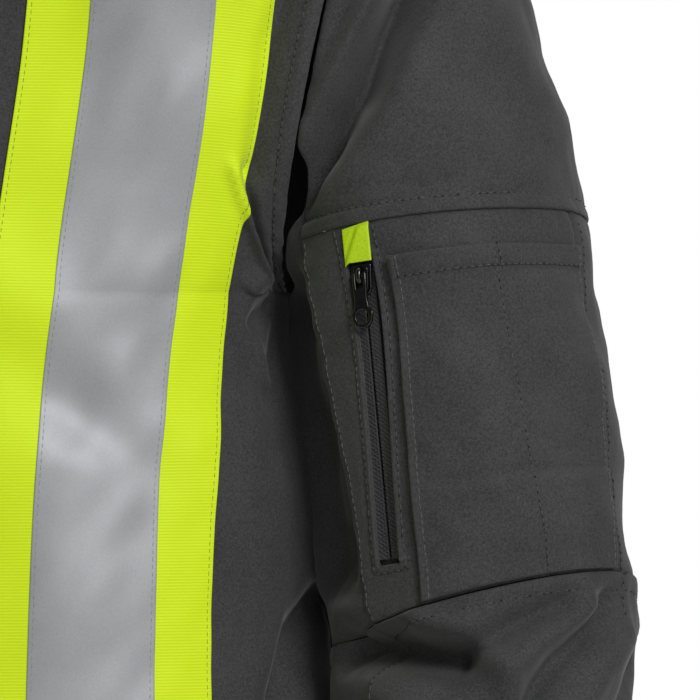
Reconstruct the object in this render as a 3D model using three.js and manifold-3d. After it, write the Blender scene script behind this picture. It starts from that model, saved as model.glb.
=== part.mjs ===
// Softshell work coat with high-visibility bands, hung as if worn. Millimetres, +Z up, -Y is the coat's front.
// The origin is the underside of the hanger loop at the back of the neck, where a coat hook carries the coat.
// The wearer's left side is +X. Every soft panel is a thin closed shell cut from one of two surfaces:
// the torso and the sleeve.
import * as THREE from "three";
import { mergeVertices } from "three/addons/utils/BufferGeometryUtils.js";
import Module from "manifold-3d";

const wasm = await Module();
wasm.setup();

// ---- Driving dimensions ----
const FABRIC = 2.4; // bonded softshell with its fleece back
const SEAM_GAP = 0.6; // between two panels that meet edge to edge
const ARMHOLE_GAP = 1.6; // between the torso panels and the sleeve along the armhole
const LAYER_GAP = 1.6; // from a panel to what is sewn on it, more than the facets sag
const BODY_Y = -52; // middle plane of the torso, front to back

const HEM_Z = -725;
const UNDERARM_Z = -258;
const FRONT_NECK_Z = -62;
const BACK_NECK_Z = 12;
const SIDE_NECK_Z = 14;
const NECK_HALF_WIDTH = 76;
const FRONT_NECK_DEPTH = 93; // from the middle plane to the zip line at the front neck
const BACK_NECK_DEPTH = 68;
const FRONT_SLOPE = 0.066; // how far the zip line leans forward for each millimetre down
const SIDE_X = 194; // half width at the underarm
// what is added to it lower down
const SIDE_EASE = [[-725, 28], [-480, 18], [-380, 12.5], [-340, 9.5], [-300, 2.5], [-258, 0]];
const COLLAR_HEIGHT = 58;
const COLLAR_TAPER = 0.045;

const ARMHOLE_HALF_HEIGHT = 108;
const ARMHOLE_Z = UNDERARM_Z + ARMHOLE_HALF_HEIGHT; // middle of the armhole
const ARMHOLE_HALF_DEPTH = 66;
const SHOULDER_X = SIDE_X + 50; // the shoulder point, at the top of the armhole

const SLEEVE_HALF_WIDTH = 63;
const SLEEVE_HALF_DEPTH = 66;
const SLEEVE_CLEARANCE = 8; // between the sleeve and the side of the torso
const SLEEVE_X = SIDE_X + SLEEVE_HALF_WIDTH + SLEEVE_CLEARANCE; // middle of the upper sleeve at SLEEVE_Z
const SLEEVE_Y = -12;
const SLEEVE_Z = -301;
const SLEEVE_OUT = 0.139; // outward and forward drift of the upper sleeve for each millimetre down
const SLEEVE_FORWARD = 0.1175;
const FOREARM_OUT = 0.02;
const FOREARM_FORWARD = 0.22;
const ELBOW_Z = -402;
const ELBOW_BLEND = 36;
const CUFF_RADIUS = 45;
const CAP_SEAM_Z = -235.5; // seam above the pocket panel, at the sleeve's middle line
const ELBOW_SEAM_Z = -389; // seam below it
const ELBOW_SEAM_TILT = 10.7; // how much higher it runs on the outer side
const ELBOW_SEAM_TURN = 15; // degrees
const CUFF_END_Z = -692;
const CUFF_LENGTH = 42;
const CUFF_SEAM_Z = CUFF_END_Z + CUFF_LENGTH;

const BAND_WIDTH = 100; // contrast band
const TAPE_WIDTH = 50; // reflective tape along its middle
const BAND_THICK = 0.8;
const WAIST_BAND_TOP_Z = -574;

const POCKET_ZIP_LENGTH = 118;
const HAND_ZIP_LENGTH = 126;
const HAND_ZIP_TOP_Z = -432;
const HAND_ZIP_X = 58; // between the front zip and the vertical band
const HAND_ZIP_LEAN = 6; // how far each end is from there
const HAND_BAG_LOW_Z = -604;
const HAND_BAG_ACROSS = [0.13, 0.66]; // its sides, as shares of the front panel's width

const degrees = Math.PI / 180;
const vec = (x, y, z) => new THREE.Vector3(x, y, z);
const mix = (a, b, t) => a + (b - a) * t;
const clamp = (t) => Math.min(1, Math.max(0, t));
const smooth = (t) => clamp(t) ** 2 * (3 - 2 * clamp(t));

// A smooth curve through [position, value] pairs in rising order of position.
function through(pairs, at) {
  const last = pairs.length - 1;
  let i = 0;
  while (i < last - 1 && at > pairs[i + 1][0]) i++;
  const slope = (j) => {
    const a = pairs[Math.max(0, j - 1)];
    const b = pairs[Math.min(last, j + 1)];
    return (b[1] - a[1]) / (b[0] - a[0]);
  };
  const [x0, y0] = pairs[i];
  const [x1, y1] = pairs[i + 1];
  const h = x1 - x0;
  const t = clamp((at - x0) / h);
  return (
    (2 * t ** 3 - 3 * t ** 2 + 1) * y0 +
    (t ** 3 - 2 * t ** 2 + t) * h * slope(i) +
    (3 * t ** 2 - 2 * t ** 3) * y1 +
    (t ** 3 - t ** 2) * h * slope(i + 1)
  );
}

// ---- The torso surface ----
// A point is torso(face, q, r): face -1 is the front and 1 the back, q runs from the middle line or
// neckline (0) to the side
// seam or armhole (1), and r from the hem (0) by the underarm (UNDERARM_R) to the shoulder seam (1).
const UNDERARM_R = 0.5;
const NECK_SHARE = { "-1": 0.62, 1: 0.78 }; // share of the armhole's rows that lie below the neckline
const BACK_DEPTHS = [[-725, 124], [-480, 108], [-330, 117], [-190, 121], [-70, 102], [12, 68]];
const SUPER = 2.5; // how square the cross-section is

const sideX = (z) => SIDE_X + through(SIDE_EASE, z);
const frontDepth = (z) => FRONT_NECK_DEPTH + FRONT_SLOPE * (FRONT_NECK_Z - z);
const middleDepth = (face, z) => (face < 0 ? frontDepth(z) : through(BACK_DEPTHS, z));

// The armhole: angle 0 is its front, 90 degrees the shoulder point, 180 its back and 270 the underarm.
function armhole(angle) {
  const up = Math.sin(angle);
  return vec(
    mix(SIDE_X, SHOULDER_X, (1 + up) / 2),
    BODY_Y - ARMHOLE_HALF_DEPTH * Math.cos(angle),
    ARMHOLE_Z + ARMHOLE_HALF_HEIGHT * up,
  );
}

// The neckline: turn 0 is the middle front or back, 90 degrees the side of the neck.
function neckline(face, turn) {
  const depth = face < 0 ? FRONT_NECK_DEPTH : BACK_NECK_DEPTH;
  const low = face < 0 ? FRONT_NECK_Z : BACK_NECK_Z;
  const rise = (1 - Math.cos(turn)) ** 0.8;
  return vec(
    NECK_HALF_WIDTH * Math.sin(turn),
    BODY_Y + face * depth * Math.cos(turn),
    mix(low, SIDE_NECK_Z, rise),
  );
}

const superRadius = (turn) =>
  (Math.abs(Math.cos(turn)) ** SUPER + Math.abs(Math.sin(turn)) ** SUPER) ** (-1 / SUPER);

function torso(face, q, r) {
  const above = (r - UNDERARM_R) / (1 - UNDERARM_R);
  const share = NECK_SHARE[face];
  let outer, inner;
  if (above <= 0) {
    const z = mix(HEM_Z, UNDERARM_Z, r / UNDERARM_R);
    outer = vec(sideX(z), BODY_Y, z);
    inner = vec(0, BODY_Y + face * middleDepth(face, z), z);
  } else {
    const angle = (-90 + 180 * above) * degrees;
    outer = armhole(face < 0 ? angle : Math.PI - angle);
    if (above < share) {
      const z = mix(UNDERARM_Z, face < 0 ? FRONT_NECK_Z : BACK_NECK_Z, above / share);
      inner = vec(0, BODY_Y + face * middleDepth(face, z), z);
    } else {
      inner = neckline(face, (90 * (above - share) * degrees) / (1 - share));
    }
  }
  // Below the underarm the row turns a full quarter to face the side; along the armhole it turns less.
  const most = mix(90, 56, smooth(above * 2.2)) * degrees;
  const radius = superRadius(q * most);
  const end = superRadius(most);
  const across = (radius * Math.sin(q * most)) / (end * Math.sin(most));
  const low = end * Math.cos(most);
  const forward = (radius * Math.cos(q * most) - low) / (1 - low);
  return vec(mix(inner.x, outer.x, across), mix(outer.y, inner.y, forward), mix(inner.z, outer.z, q));
}

// q of the point on row r at a given x.
function acrossAtX(face, r, x) {
  let low = 0;
  let high = 1;
  for (let i = 0; i < 40; i++) {
    const mid = (low + high) / 2;
    if (torso(face, mid, r).x < x) low = mid;
    else high = mid;
  }
  return (low + high) / 2;
}

// q of the point a given distance along row r from q.
function alongRow(face, r, q, distance) {
  const steps = 12;
  for (let i = 0; i < steps; i++) {
    const speed = torso(face, q + 0.005, r).distanceTo(torso(face, q - 0.005, r)) / 0.01;
    q += distance / steps / speed;
  }
  return q;
}

// r of the level row at height z, below the underarm.
const rowOfHeight = (z) => (UNDERARM_R * (z - HEM_Z)) / (UNDERARM_Z - HEM_Z);

// ---- The sleeve surface ----
// A point is sleeve(angle, z): the angle is measured as on the armhole and z is the height of the ring's middle.
function sleeveMiddle(z) {
  const drop = SLEEVE_Z - z;
  const toElbow = SLEEVE_Z - ELBOW_Z;
  const past = drop - toElbow;
  // A parabola of ELBOW_BLEND each way joins the two straight lengths.
  const bend = past <= -ELBOW_BLEND ? 0 : past >= ELBOW_BLEND ? past : (past + ELBOW_BLEND) ** 2 / (4 * ELBOW_BLEND);
  return vec(
    SLEEVE_X + SLEEVE_OUT * drop + (FOREARM_OUT - SLEEVE_OUT) * bend,
    BODY_Y + SLEEVE_Y - SLEEVE_FORWARD * drop - (FOREARM_FORWARD - SLEEVE_FORWARD) * bend,
    z,
  );
}

function sleeveFrame(z) {
  const down = sleeveMiddle(z - 1).sub(sleeveMiddle(z + 1)).normalize();
  const out = vec(1, 0, 0).addScaledVector(down, -down.x).normalize();
  const front = vec().crossVectors(out, down).normalize();
  if (front.y > 0) front.negate();
  return { down, out, front };
}

// Each list gives the half width or depth at a height; the sleeve narrows evenly from the elbow to the cuff.
const halfWidths = [
  [CUFF_END_Z, CUFF_RADIUS], [-560, mix(CUFF_RADIUS, SLEEVE_HALF_WIDTH, 0.33)], [-450, SLEEVE_HALF_WIDTH - 5],
  [-381, SLEEVE_HALF_WIDTH - 1.3], [SLEEVE_Z, SLEEVE_HALF_WIDTH],
  [-230, SLEEVE_HALF_WIDTH - 2.5], [-42, SLEEVE_HALF_WIDTH],
];
const halfDepths = [
  [CUFF_END_Z, CUFF_RADIUS], [-560, mix(CUFF_RADIUS, SLEEVE_HALF_DEPTH, 0.38)], [-450, SLEEVE_HALF_DEPTH - 4],
  [-381, SLEEVE_HALF_DEPTH - 1], [SLEEVE_Z, SLEEVE_HALF_DEPTH], [-42, SLEEVE_HALF_DEPTH],
];

function tube(angle, z) {
  const { out, front } = sleeveFrame(z);
  return sleeveMiddle(z)
    .addScaledVector(out, through(halfWidths, z) * Math.sin(angle))
    .addScaledVector(front, through(halfDepths, z) * Math.cos(angle));
}

// Height of the ring that is level with the armhole at this angle.
function sleeveStart(angle) {
  const at = armhole(angle);
  const { down } = sleeveFrame(ARMHOLE_Z);
  const middle = sleeveMiddle(ARMHOLE_Z);
  return ARMHOLE_Z - at.sub(middle).dot(down) * -down.z;
}

function sleeve(angle, z) {
  const start = sleeveStart(angle);
  const pull = armhole(angle).sub(tube(angle, start));
  const reach = mix(120, 200, clamp(Math.sin(angle)));
  const fade = (1 - clamp((start - z) / reach)) ** 2;
  return tube(angle, z).addScaledVector(pull, fade);
}

// ---- Closed solids from surfaces ----
// surface(u, v) gives a point for u and v from 0 to 1. The shell fills from the inner to the outer offset
// along the normal.
function shell(surface, across, along, inner, outer, inside) {
  const points = [];
  const e = 1e-3;
  const normal = (u, v) => {
    const du = surface(u + e, v).sub(surface(u - e, v));
    const dv = surface(u, Math.min(1, v + e)).sub(surface(u, Math.max(0, v - e)));
    const n = du.cross(dv).normalize();
    return n.dot(surface(u, v).sub(inside(surface(u, v)))) < 0 ? n.negate() : n;
  };
  for (const offset of [inner, outer])
    for (let j = 0; j <= along; j++)
      for (let i = 0; i <= across; i++) {
        const u = i / across;
        const v = j / along;
        const lift = typeof offset === "function" ? offset(u, v) : offset;
        points.push(surface(u, v).addScaledVector(normal(u, v), lift));
      }
  const layer = (across + 1) * (along + 1);
  const at = (k, i, j) => k * layer + j * (across + 1) + i;
  const faces = [];
  const quad = (a, b, c, d) => faces.push(a, b, c, a, c, d);
  for (let j = 0; j < along; j++)
    for (let i = 0; i < across; i++) {
      quad(at(1, i, j), at(1, i + 1, j), at(1, i + 1, j + 1), at(1, i, j + 1));
      quad(at(0, i, j), at(0, i, j + 1), at(0, i + 1, j + 1), at(0, i + 1, j));
    }
  for (let i = 0; i < across; i++) {
    quad(at(0, i, 0), at(0, i + 1, 0), at(1, i + 1, 0), at(1, i, 0));
    quad(at(0, i + 1, along), at(0, i, along), at(1, i, along), at(1, i + 1, along));
  }
  for (let j = 0; j < along; j++) {
    quad(at(0, 0, j + 1), at(0, 0, j), at(1, 0, j), at(1, 0, j + 1));
    quad(at(0, across, j), at(0, across, j + 1), at(1, across, j + 1), at(1, across, j));
  }
  return facingOut(points.flatMap((p) => [p.x, p.y, p.z]), faces);
}

// A shell that closes on itself in the first direction, such as a cuff.
function ring(surface, around, along, inner, outer, inside) {
  const open = shell(surface, around, along, inner, outer, inside).getAttribute("position").array;
  const layer = (around + 1) * (along + 1);
  const points = [];
  for (let k = 0; k < 2; k++)
    for (let j = 0; j <= along; j++)
      for (let i = 0; i < around; i++) {
        const from = 3 * (k * layer + j * (around + 1) + i);
        points.push(open[from], open[from + 1], open[from + 2]);
      }
  const at = (k, i, j) => k * around * (along + 1) + j * around + (i % around);
  const faces = [];
  const quad = (a, b, c, d) => faces.push(a, b, c, a, c, d);
  for (let i = 0; i < around; i++) {
    for (let j = 0; j < along; j++) {
      quad(at(1, i, j), at(1, i + 1, j), at(1, i + 1, j + 1), at(1, i, j + 1));
      quad(at(0, i, j), at(0, i, j + 1), at(0, i + 1, j + 1), at(0, i + 1, j));
    }
    quad(at(0, i, 0), at(0, i + 1, 0), at(1, i + 1, 0), at(1, i, 0));
    quad(at(0, i + 1, along), at(0, i, along), at(1, i, along), at(1, i + 1, along));
  }
  return facingOut(points, faces);
}

function facingOut(points, faces) {
  let volume = 0;
  const p = (i) => vec(points[3 * i], points[3 * i + 1], points[3 * i + 2]);
  for (let i = 0; i < faces.length; i += 3) volume += p(faces[i]).dot(p(faces[i + 1]).cross(p(faces[i + 2])));
  if (volume < 0) for (let i = 0; i < faces.length; i += 3) [faces[i + 1], faces[i + 2]] = [faces[i + 2], faces[i + 1]];
  const geometry = new THREE.BufferGeometry();
  geometry.setAttribute("position", new THREE.Float32BufferAttribute(points, 3));
  geometry.setIndex(faces);
  return geometry;
}

function mirrored(geometry) {
  const points = Array.from(geometry.getAttribute("position").array, (c, i) => (i % 3 === 0 ? -c : c));
  return facingOut(points, Array.from(geometry.index.array));
}

function solid(geometry) {
  const bare = geometry.index ? geometry.toNonIndexed() : geometry.clone();
  bare.deleteAttribute("normal");
  bare.deleteAttribute("uv");
  const merged = mergeVertices(bare, 1e-4);
  return new wasm.Manifold(
    new wasm.Mesh({
      numProp: 3,
      vertProperties: new Float32Array(merged.getAttribute("position").array),
      triVerts: new Uint32Array(merged.index.array),
    }),
  );
}

function geometryOf(made) {
  const mesh = made.getMesh();
  const geometry = new THREE.BufferGeometry();
  geometry.setAttribute("position", new THREE.Float32BufferAttribute(Array.from(mesh.vertProperties), 3));
  geometry.setIndex(Array.from(mesh.triVerts));
  return geometry;
}

const joined = (...parts) => geometryOf(parts.map(solid).reduce((a, b) => a.add(b)));
const cut = (from, ...tools) => geometryOf(tools.map(solid).reduce((a, b) => a.subtract(b), solid(from)));

function box(x0, x1, y0, y1, z0, z1) {
  const geometry = new THREE.BoxGeometry(x1 - x0, y1 - y0, z1 - z0);
  return geometry.translate((x0 + x1) / 2, (y0 + y1) / 2, (z0 + z1) / 2);
}

// ---- Materials ----
const material = (color, roughness, metalness = 0) =>
  new THREE.MeshStandardMaterial({ color, roughness, metalness });
const SOFTSHELL = material(0x3b3b3d, 0.85);
const FLEECE = material(0x2b2b2d, 0.95);
const LIME = material(0xc8ef10, 0.6);
const REFLECTIVE = material(0xa6a8aa, 0.4);
const ZIP_TAPE = material(0x2a2a2c, 0.8);
const COIL = material(0x1d1d1f, 0.45);
const SLIDER = material(0x18181a, 0.35, 0.6);

const coat = new THREE.Group();
function add(name, geometry, finish, parent = coat) {
  const mesh = new THREE.Mesh(geometry, finish);
  mesh.name = name;
  parent.add(mesh);
}

// A panel and its mirror image.
function addPair(name, geometry, finish) {
  add(name + "_left", geometry, finish);
  add(name + "_right", mirrored(geometry), finish);
}

const insideTorso = (p) => vec(0, BODY_Y, Math.min(p.z, -200));
const insideSleeve = (p) => sleeveMiddle(Math.min(p.z, ARMHOLE_Z - 40));

// ---- Zips ----
// A zip lies in its own frame: Z up along its line from its top end, -Y outwards, y = 0 on the outer face
// of the fabric.
const ZIP = {
  tapeThick: 0.7,
  tapeMargin: 3, // how far the tape reaches behind the fabric on each side
  joinLength: 4, // where the two halves are joined below the slider's travel
  coilThick: 2.2,
  coilWidth: 2.6,
  coilGap: 0.3, // coil to tape
  slot: 1.6, // between the two halves, for the slider's neck
  clearance: 0.4, // slider to coil and tape
  plateThick: 1.4,
  sliderLength: 13,
  sliderTop: 9.6,
  sliderFoot: 8,
  neck: 0.8,
  neckLength: 3,
  crownWidth: 2,
  crownHeight: 3.4,
  crownLength: 7,
  pinRadius: 0.6,
  pinClearance: 0.35,
  pullLength: 21,
  pullThick: 1.4,
  ringRadius: 4.5,
  ringHole: 2.4,
  windowClearance: 0.6, // from the slider to each edge of the opening in the fabric
};
ZIP.windowWidth = ZIP.sliderTop + 2 * ZIP.windowClearance;
ZIP.tapeHalf = ZIP.windowWidth / 2 + ZIP.tapeMargin;
ZIP.tapeDepth = FABRIC + 1.43 + ZIP.tapeHalf ** 2 / SLEEVE_HALF_DEPTH; // the flat tape stays behind the round sleeve
ZIP.coilTop = ZIP.tapeDepth - ZIP.coilGap - ZIP.coilThick;
ZIP.plateY = ZIP.coilTop - ZIP.clearance - ZIP.plateThick; // outer face of the slider's top plate
ZIP.backY = ZIP.tapeDepth + ZIP.tapeThick + ZIP.clearance; // front face of its back plate
ZIP.pinY = ZIP.plateY - ZIP.crownHeight / 2 - 0.2;
ZIP.pinZ = -5;

function outline(points) {
  const shape = new THREE.Shape();
  points.forEach(([x, y], i) => (i ? shape.lineTo(x, y) : shape.moveTo(x, y)));
  shape.closePath();
  return shape;
}

// An outline drawn in x and z, extruded from y0 to y1.
function slab(shape, y0, y1) {
  const geometry = new THREE.ExtrudeGeometry(shape, { depth: y1 - y0, bevelEnabled: false, curveSegments: 5 });
  return geometry.rotateX(Math.PI / 2).translate(0, y1, 0);
}

function sliderGeometry() {
  const { sliderTop: wide, sliderFoot: foot, sliderLength: long } = ZIP;
  const shape = outline([
    [-wide / 2, 0], [-foot / 2, -long + 2], [-foot / 2 + 2, -long],
    [foot / 2 - 2, -long], [foot / 2, -long + 2], [wide / 2, 0],
  ]);
  const top = slab(shape, ZIP.plateY, ZIP.plateY + ZIP.plateThick);
  const back = slab(shape, ZIP.backY, ZIP.backY + ZIP.plateThick);
  const neck = box(-ZIP.neck / 2, ZIP.neck / 2, ZIP.plateY + 0.5, ZIP.backY + 0.5, -ZIP.neckLength, -0.01);
  const crownZ = ZIP.pinZ + ZIP.crownLength / 2;
  const crown = box(
    -ZIP.crownWidth / 2, ZIP.crownWidth / 2,
    ZIP.plateY - ZIP.crownHeight, ZIP.plateY + 0.5,
    crownZ - ZIP.crownLength, crownZ,
  );
  const hole = new THREE.CylinderGeometry(
    ZIP.pinRadius + ZIP.pinClearance, ZIP.pinRadius + ZIP.pinClearance, 10, 10,
  ).rotateZ(Math.PI / 2).translate(0, ZIP.pinY, ZIP.pinZ);
  return cut(joined(top, back, neck, crown), hole);
}

// The pull: a fork round the crown with a pin through it, then a tapering tab that ends in a ring.
function pullGeometry() {
  const end = ZIP.pinZ - ZIP.pullLength + ZIP.ringRadius;
  const prongs = ZIP.pinZ + 1.2;
  const fork = ZIP.pinZ - ZIP.crownLength / 2 - 1.6;
  const shape = outline([
    [-3.1, prongs], [-3.1, fork - 2], [-2.7, end + 3.4], [2.7, end + 3.4],
    [3.1, fork - 2], [3.1, prongs], [1.7, prongs], [1.7, fork], [-1.7, fork], [-1.7, prongs],
  ]);
  const disc = new THREE.Shape();
  disc.absarc(0, end, ZIP.ringRadius, 0, 2 * Math.PI, false);
  const hole = new THREE.Path();
  hole.absarc(0, end, ZIP.ringHole, 0, 2 * Math.PI, true);
  disc.holes.push(hole);
  const front = ZIP.pinY - ZIP.pullThick / 2;
  const tab = joined(slab(shape, front, front + ZIP.pullThick), slab(disc, front, front + ZIP.pullThick));
  const pin = new THREE.CylinderGeometry(ZIP.pinRadius, ZIP.pinRadius, 5.2, 8)
    .rotateZ(Math.PI / 2)
    .translate(0, ZIP.pinY, ZIP.pinZ - 0.2);
  return joined(tab, pin);
}

// Adds a pocket zip whose two halves join below the slider's travel.
function addPocketZip(prefix, suffix, group, length) {
  const side = ZIP.tapeHalf;
  const slot = ZIP.slot / 2;
  const reach = slot + ZIP.coilWidth;
  const foot = -length + 0.5;
  const join = foot + ZIP.joinLength;
  const tape = outline([
    [-side, 4], [-side, foot - 5], [side, foot - 5], [side, 4],
    [slot, 4], [slot, join], [-slot, join], [-slot, 4],
  ]);
  const coil = outline([
    [-reach, -0.5], [-reach, foot], [reach, foot], [reach, -0.5],
    [slot, -0.5], [slot, join], [-slot, join], [-slot, -0.5],
  ]);
  add(prefix + "_tape" + suffix, slab(tape, ZIP.tapeDepth, ZIP.tapeDepth + ZIP.tapeThick), ZIP_TAPE, group);
  add(prefix + "_coil" + suffix, slab(coil, ZIP.coilTop, ZIP.coilTop + ZIP.coilThick), COIL, group);
  add(prefix + "_slider" + suffix, sliderGeometry(), SLIDER, group);
  add(prefix + "_pull" + suffix, pullGeometry(), SLIDER, group);
}

// A group whose own frame is a zip's frame, from the top end, the foot and a second point across the fabric.
function zipGroup(top, foot, beside) {
  const up = top.clone().sub(foot).normalize();
  const inward = vec().crossVectors(up, beside.clone().sub(top)).normalize();
  const right = vec().crossVectors(inward, up);
  const group = new THREE.Group();
  group.applyMatrix4(new THREE.Matrix4().makeBasis(right, inward, up).setPosition(top));
  group.updateMatrix();
  return group;
}

const windowTool = (group, length) =>
  box(-ZIP.windowWidth / 2, ZIP.windowWidth / 2, -8, 8, -length, 2.5).applyMatrix4(group.matrix);

// ---- Torso panels ----
const FRONT_SCALE = 1.25; // the front zip is a size larger than the pocket zips
const ZIP_EDGE = (ZIP.windowWidth / 2) * FRONT_SCALE + 0.3; // the front panels stop this far from the middle line
const COLUMNS = 10;
const LOW_ROWS = 6;
const CHEST_ROWS = 5;
const NECK_ROWS = 5;
const ROWS = LOW_ROWS + CHEST_ROWS + NECK_ROWS;

// Row j of a panel: even steps up to the underarm, up to the neckline and up to the shoulder seam.
function rowOf(face, j) {
  const neck = mix(UNDERARM_R, 1, NECK_SHARE[face]);
  if (j <= LOW_ROWS) return (UNDERARM_R * j) / LOW_ROWS;
  if (j <= LOW_ROWS + CHEST_ROWS) return mix(UNDERARM_R, neck, (j - LOW_ROWS) / CHEST_ROWS);
  return mix(neck, 1, (j - LOW_ROWS - CHEST_ROWS) / NECK_ROWS);
}

// r at a place v from 0 to 1 that steps through the rows, starting part of a row up where first isn't whole.
function rowAt(face, v, first = 0) {
  const whole = Math.floor(first);
  const steps = clamp(v) * (ROWS - whole);
  const place = steps < 1 ? mix(first, whole + 1, steps) : whole + steps;
  const j = Math.min(ROWS - 1, Math.floor(place));
  return mix(rowOf(face, j), rowOf(face, j + 1), place - j);
}
const sideGap = (face, r) => {
  const edge = r <= UNDERARM_R || r > 0.995 ? SEAM_GAP / 2 : ARMHOLE_GAP;
  return alongRow(face, r, 1, -edge);
};
const frontStart = (r) => Math.max(0, acrossAtX(-1, r, ZIP_EDGE));
const SHOULDER_R = 0.998; // the panels stop just short of the shoulder seam

function frontPanel(u, v) {
  const r = Math.min(rowAt(-1, v), SHOULDER_R);
  return torso(-1, mix(frontStart(r), sideGap(-1, r), u), r);
}

function halfBackPanel(u, v) {
  const r = Math.min(rowAt(1, v), SHOULDER_R);
  return torso(1, u * sideGap(1, r), r);
}

// Hand pockets: a zip between the front zip and the vertical band, above the waist band.
const handPoint = (x, z) => torso(-1, acrossAtX(-1, rowOfHeight(z), x), rowOfHeight(z));
const handTop = handPoint(HAND_ZIP_X - HAND_ZIP_LEAN, HAND_ZIP_TOP_Z);
const handFoot = handPoint(HAND_ZIP_X + HAND_ZIP_LEAN, HAND_ZIP_TOP_Z - HAND_ZIP_LENGTH);
const handMiddleZ = HAND_ZIP_TOP_Z - HAND_ZIP_LENGTH / 2;
const handAcross = handPoint(HAND_ZIP_X + 5, handMiddleZ).sub(handPoint(HAND_ZIP_X - 5, handMiddleZ));
const flip = (p) => vec(-p.x, p.y, p.z);

const frontShell = shell(frontPanel, COLUMNS, ROWS, -FABRIC, 0, insideTorso);
for (const side of [1, -1]) {
  const suffix = side > 0 ? "_left" : "_right";
  const place = (p) => (side > 0 ? p.clone() : flip(p));
  const beside = place(handTop).addScaledVector(place(handAcross), side);
  const group = zipGroup(place(handTop), place(handFoot), beside);
  const panel = side > 0 ? frontShell : mirrored(frontShell);
  add("front_panel" + suffix, cut(panel, windowTool(group, HAND_ZIP_LENGTH)), SOFTSHELL);
  addPocketZip("hand_zip", suffix, group, HAND_ZIP_LENGTH);
  coat.add(group);
}
const halfBack = shell(halfBackPanel, COLUMNS, ROWS, -FABRIC, 0, insideTorso);
add("back_panel", joined(halfBack, mirrored(halfBack)), SOFTSHELL);

// The pocket bags hang inside the front panels, behind the zips.
const BAG_DEPTH = ZIP.backY + ZIP.plateThick + 1.2;
addPair(
  "hand_pocket_bag",
  shell(
    (u, v) => torso(-1, mix(...HAND_BAG_ACROSS, u), rowOfHeight(mix(HAND_BAG_LOW_Z, HAND_ZIP_TOP_Z + 12, v))),
    6, 3, -BAG_DEPTH - 1, -BAG_DEPTH, insideTorso,
  ),
  FLEECE,
);

// ---- Collar ----
// turn runs from the middle front (0) round the side of the neck (90 degrees) to the middle back (180 degrees).
function collar(turn, height) {
  const face = Math.abs(turn) < 90 * degrees ? -1 : 1;
  const away = Math.abs(turn);
  const base = neckline(face, face < 0 ? away : Math.PI - away);
  const rise = clamp(height / COLLAR_HEIGHT);
  const lean = 1 - COLLAR_TAPER * rise;
  const p = vec(base.x * lean, BODY_Y + (base.y - BODY_Y) * lean, base.z + height);
  if (face < 0) p.y = mix(p.y, BODY_Y - frontDepth(p.z), Math.cos(away) ** 8);
  return turn < 0 ? p.setX(-p.x) : p;
}

function collarShell(edge, inner, outer, low, high) {
  const start = Math.asin(edge / NECK_HALF_WIDTH);
  const surface = (u, v) => {
    const turn = mix(start, 2 * Math.PI - start, u);
    return collar(turn > Math.PI ? turn - 2 * Math.PI : turn, mix(low, high, v));
  };
  return shell(surface, 28, 2, inner, outer, (p) => vec(0, BODY_Y, p.z));
}
add("collar_outer", collarShell(ZIP_EDGE, -FABRIC, 0, 1.2, COLLAR_HEIGHT), SOFTSHELL);
add("collar_lining", collarShell(ZIP_EDGE + 16, -FABRIC - 2.2, -FABRIC - 1, 3, COLLAR_HEIGHT - 1), FLEECE);

// ---- Front zip and storm flap ----
const zipTopZ = FRONT_NECK_Z + COLLAR_HEIGHT - 5;
const frontPoint = (z) => vec(0, BODY_Y - frontDepth(z), z);
const front = zipGroup(frontPoint(zipTopZ), frontPoint(HEM_Z + 4), frontPoint(zipTopZ).setX(1));
const FRONT_ZIP_LENGTH = frontPoint(zipTopZ).distanceTo(frontPoint(HEM_Z + 4)) / FRONT_SCALE;
front.scale.setScalar(FRONT_SCALE);
const stripAlong = (x0, x1, y0, y1, z0, z1) => (x0 < x1 ? box(x0, x1, y0, y1, z0, z1) : box(x1, x0, y0, y1, z0, z1));
for (const side of [1, -1]) {
  const suffix = side > 0 ? "_left" : "_right";
  const near = (side * ZIP.slot) / 2;
  const tapeY = ZIP.tapeDepth;
  add(
    "front_zip_tape" + suffix,
    stripAlong(near, side * 13, tapeY, tapeY + ZIP.tapeThick, -FRONT_ZIP_LENGTH, 1),
    ZIP_TAPE, front,
  );
  add(
    "front_zip_coil" + suffix,
    stripAlong(near, near + side * ZIP.coilWidth, ZIP.coilTop, ZIP.coilTop + ZIP.coilThick, -FRONT_ZIP_LENGTH + 9, -0.5),
    COIL, front,
  );
}
add("front_zip_slider", sliderGeometry(), SLIDER, front);
add("front_zip_pull", pullGeometry(), SLIDER, front);
add(
  "front_zip_box",
  box(-4.4, 4.4, ZIP.coilTop - 0.4, ZIP.tapeDepth - 0.3, -FRONT_ZIP_LENGTH + 0.5, -FRONT_ZIP_LENGTH + 8.4),
  COIL, front,
);
const FLAP_Y = ZIP.backY + ZIP.plateThick + 0.9;
add("storm_flap", box(-16, 16, FLAP_Y, FLAP_Y + 1.3, -FRONT_ZIP_LENGTH, 2), FLEECE, front);
coat.add(front);

// ---- Contrast bands and reflective tape ----
// Middle line of the vertical bands, as x at each height; the same line serves front and back.
const BAND_LINE = [[-725, 133], [-421, 133], [-281, 138], [-141, 156], [0, 158]];
const BAND_FIRST_ROW = (rowOfHeight(WAIST_BAND_TOP_Z + 1) / UNDERARM_R) * LOW_ROWS;
const BAND_STEPS = ROWS - Math.floor(BAND_FIRST_ROW);

function bandMiddle(face, r) {
  let q = 0.6;
  for (let i = 0; i < 12; i++) q = acrossAtX(face, r, through(BAND_LINE, torso(face, q, r).z));
  return q;
}

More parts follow.
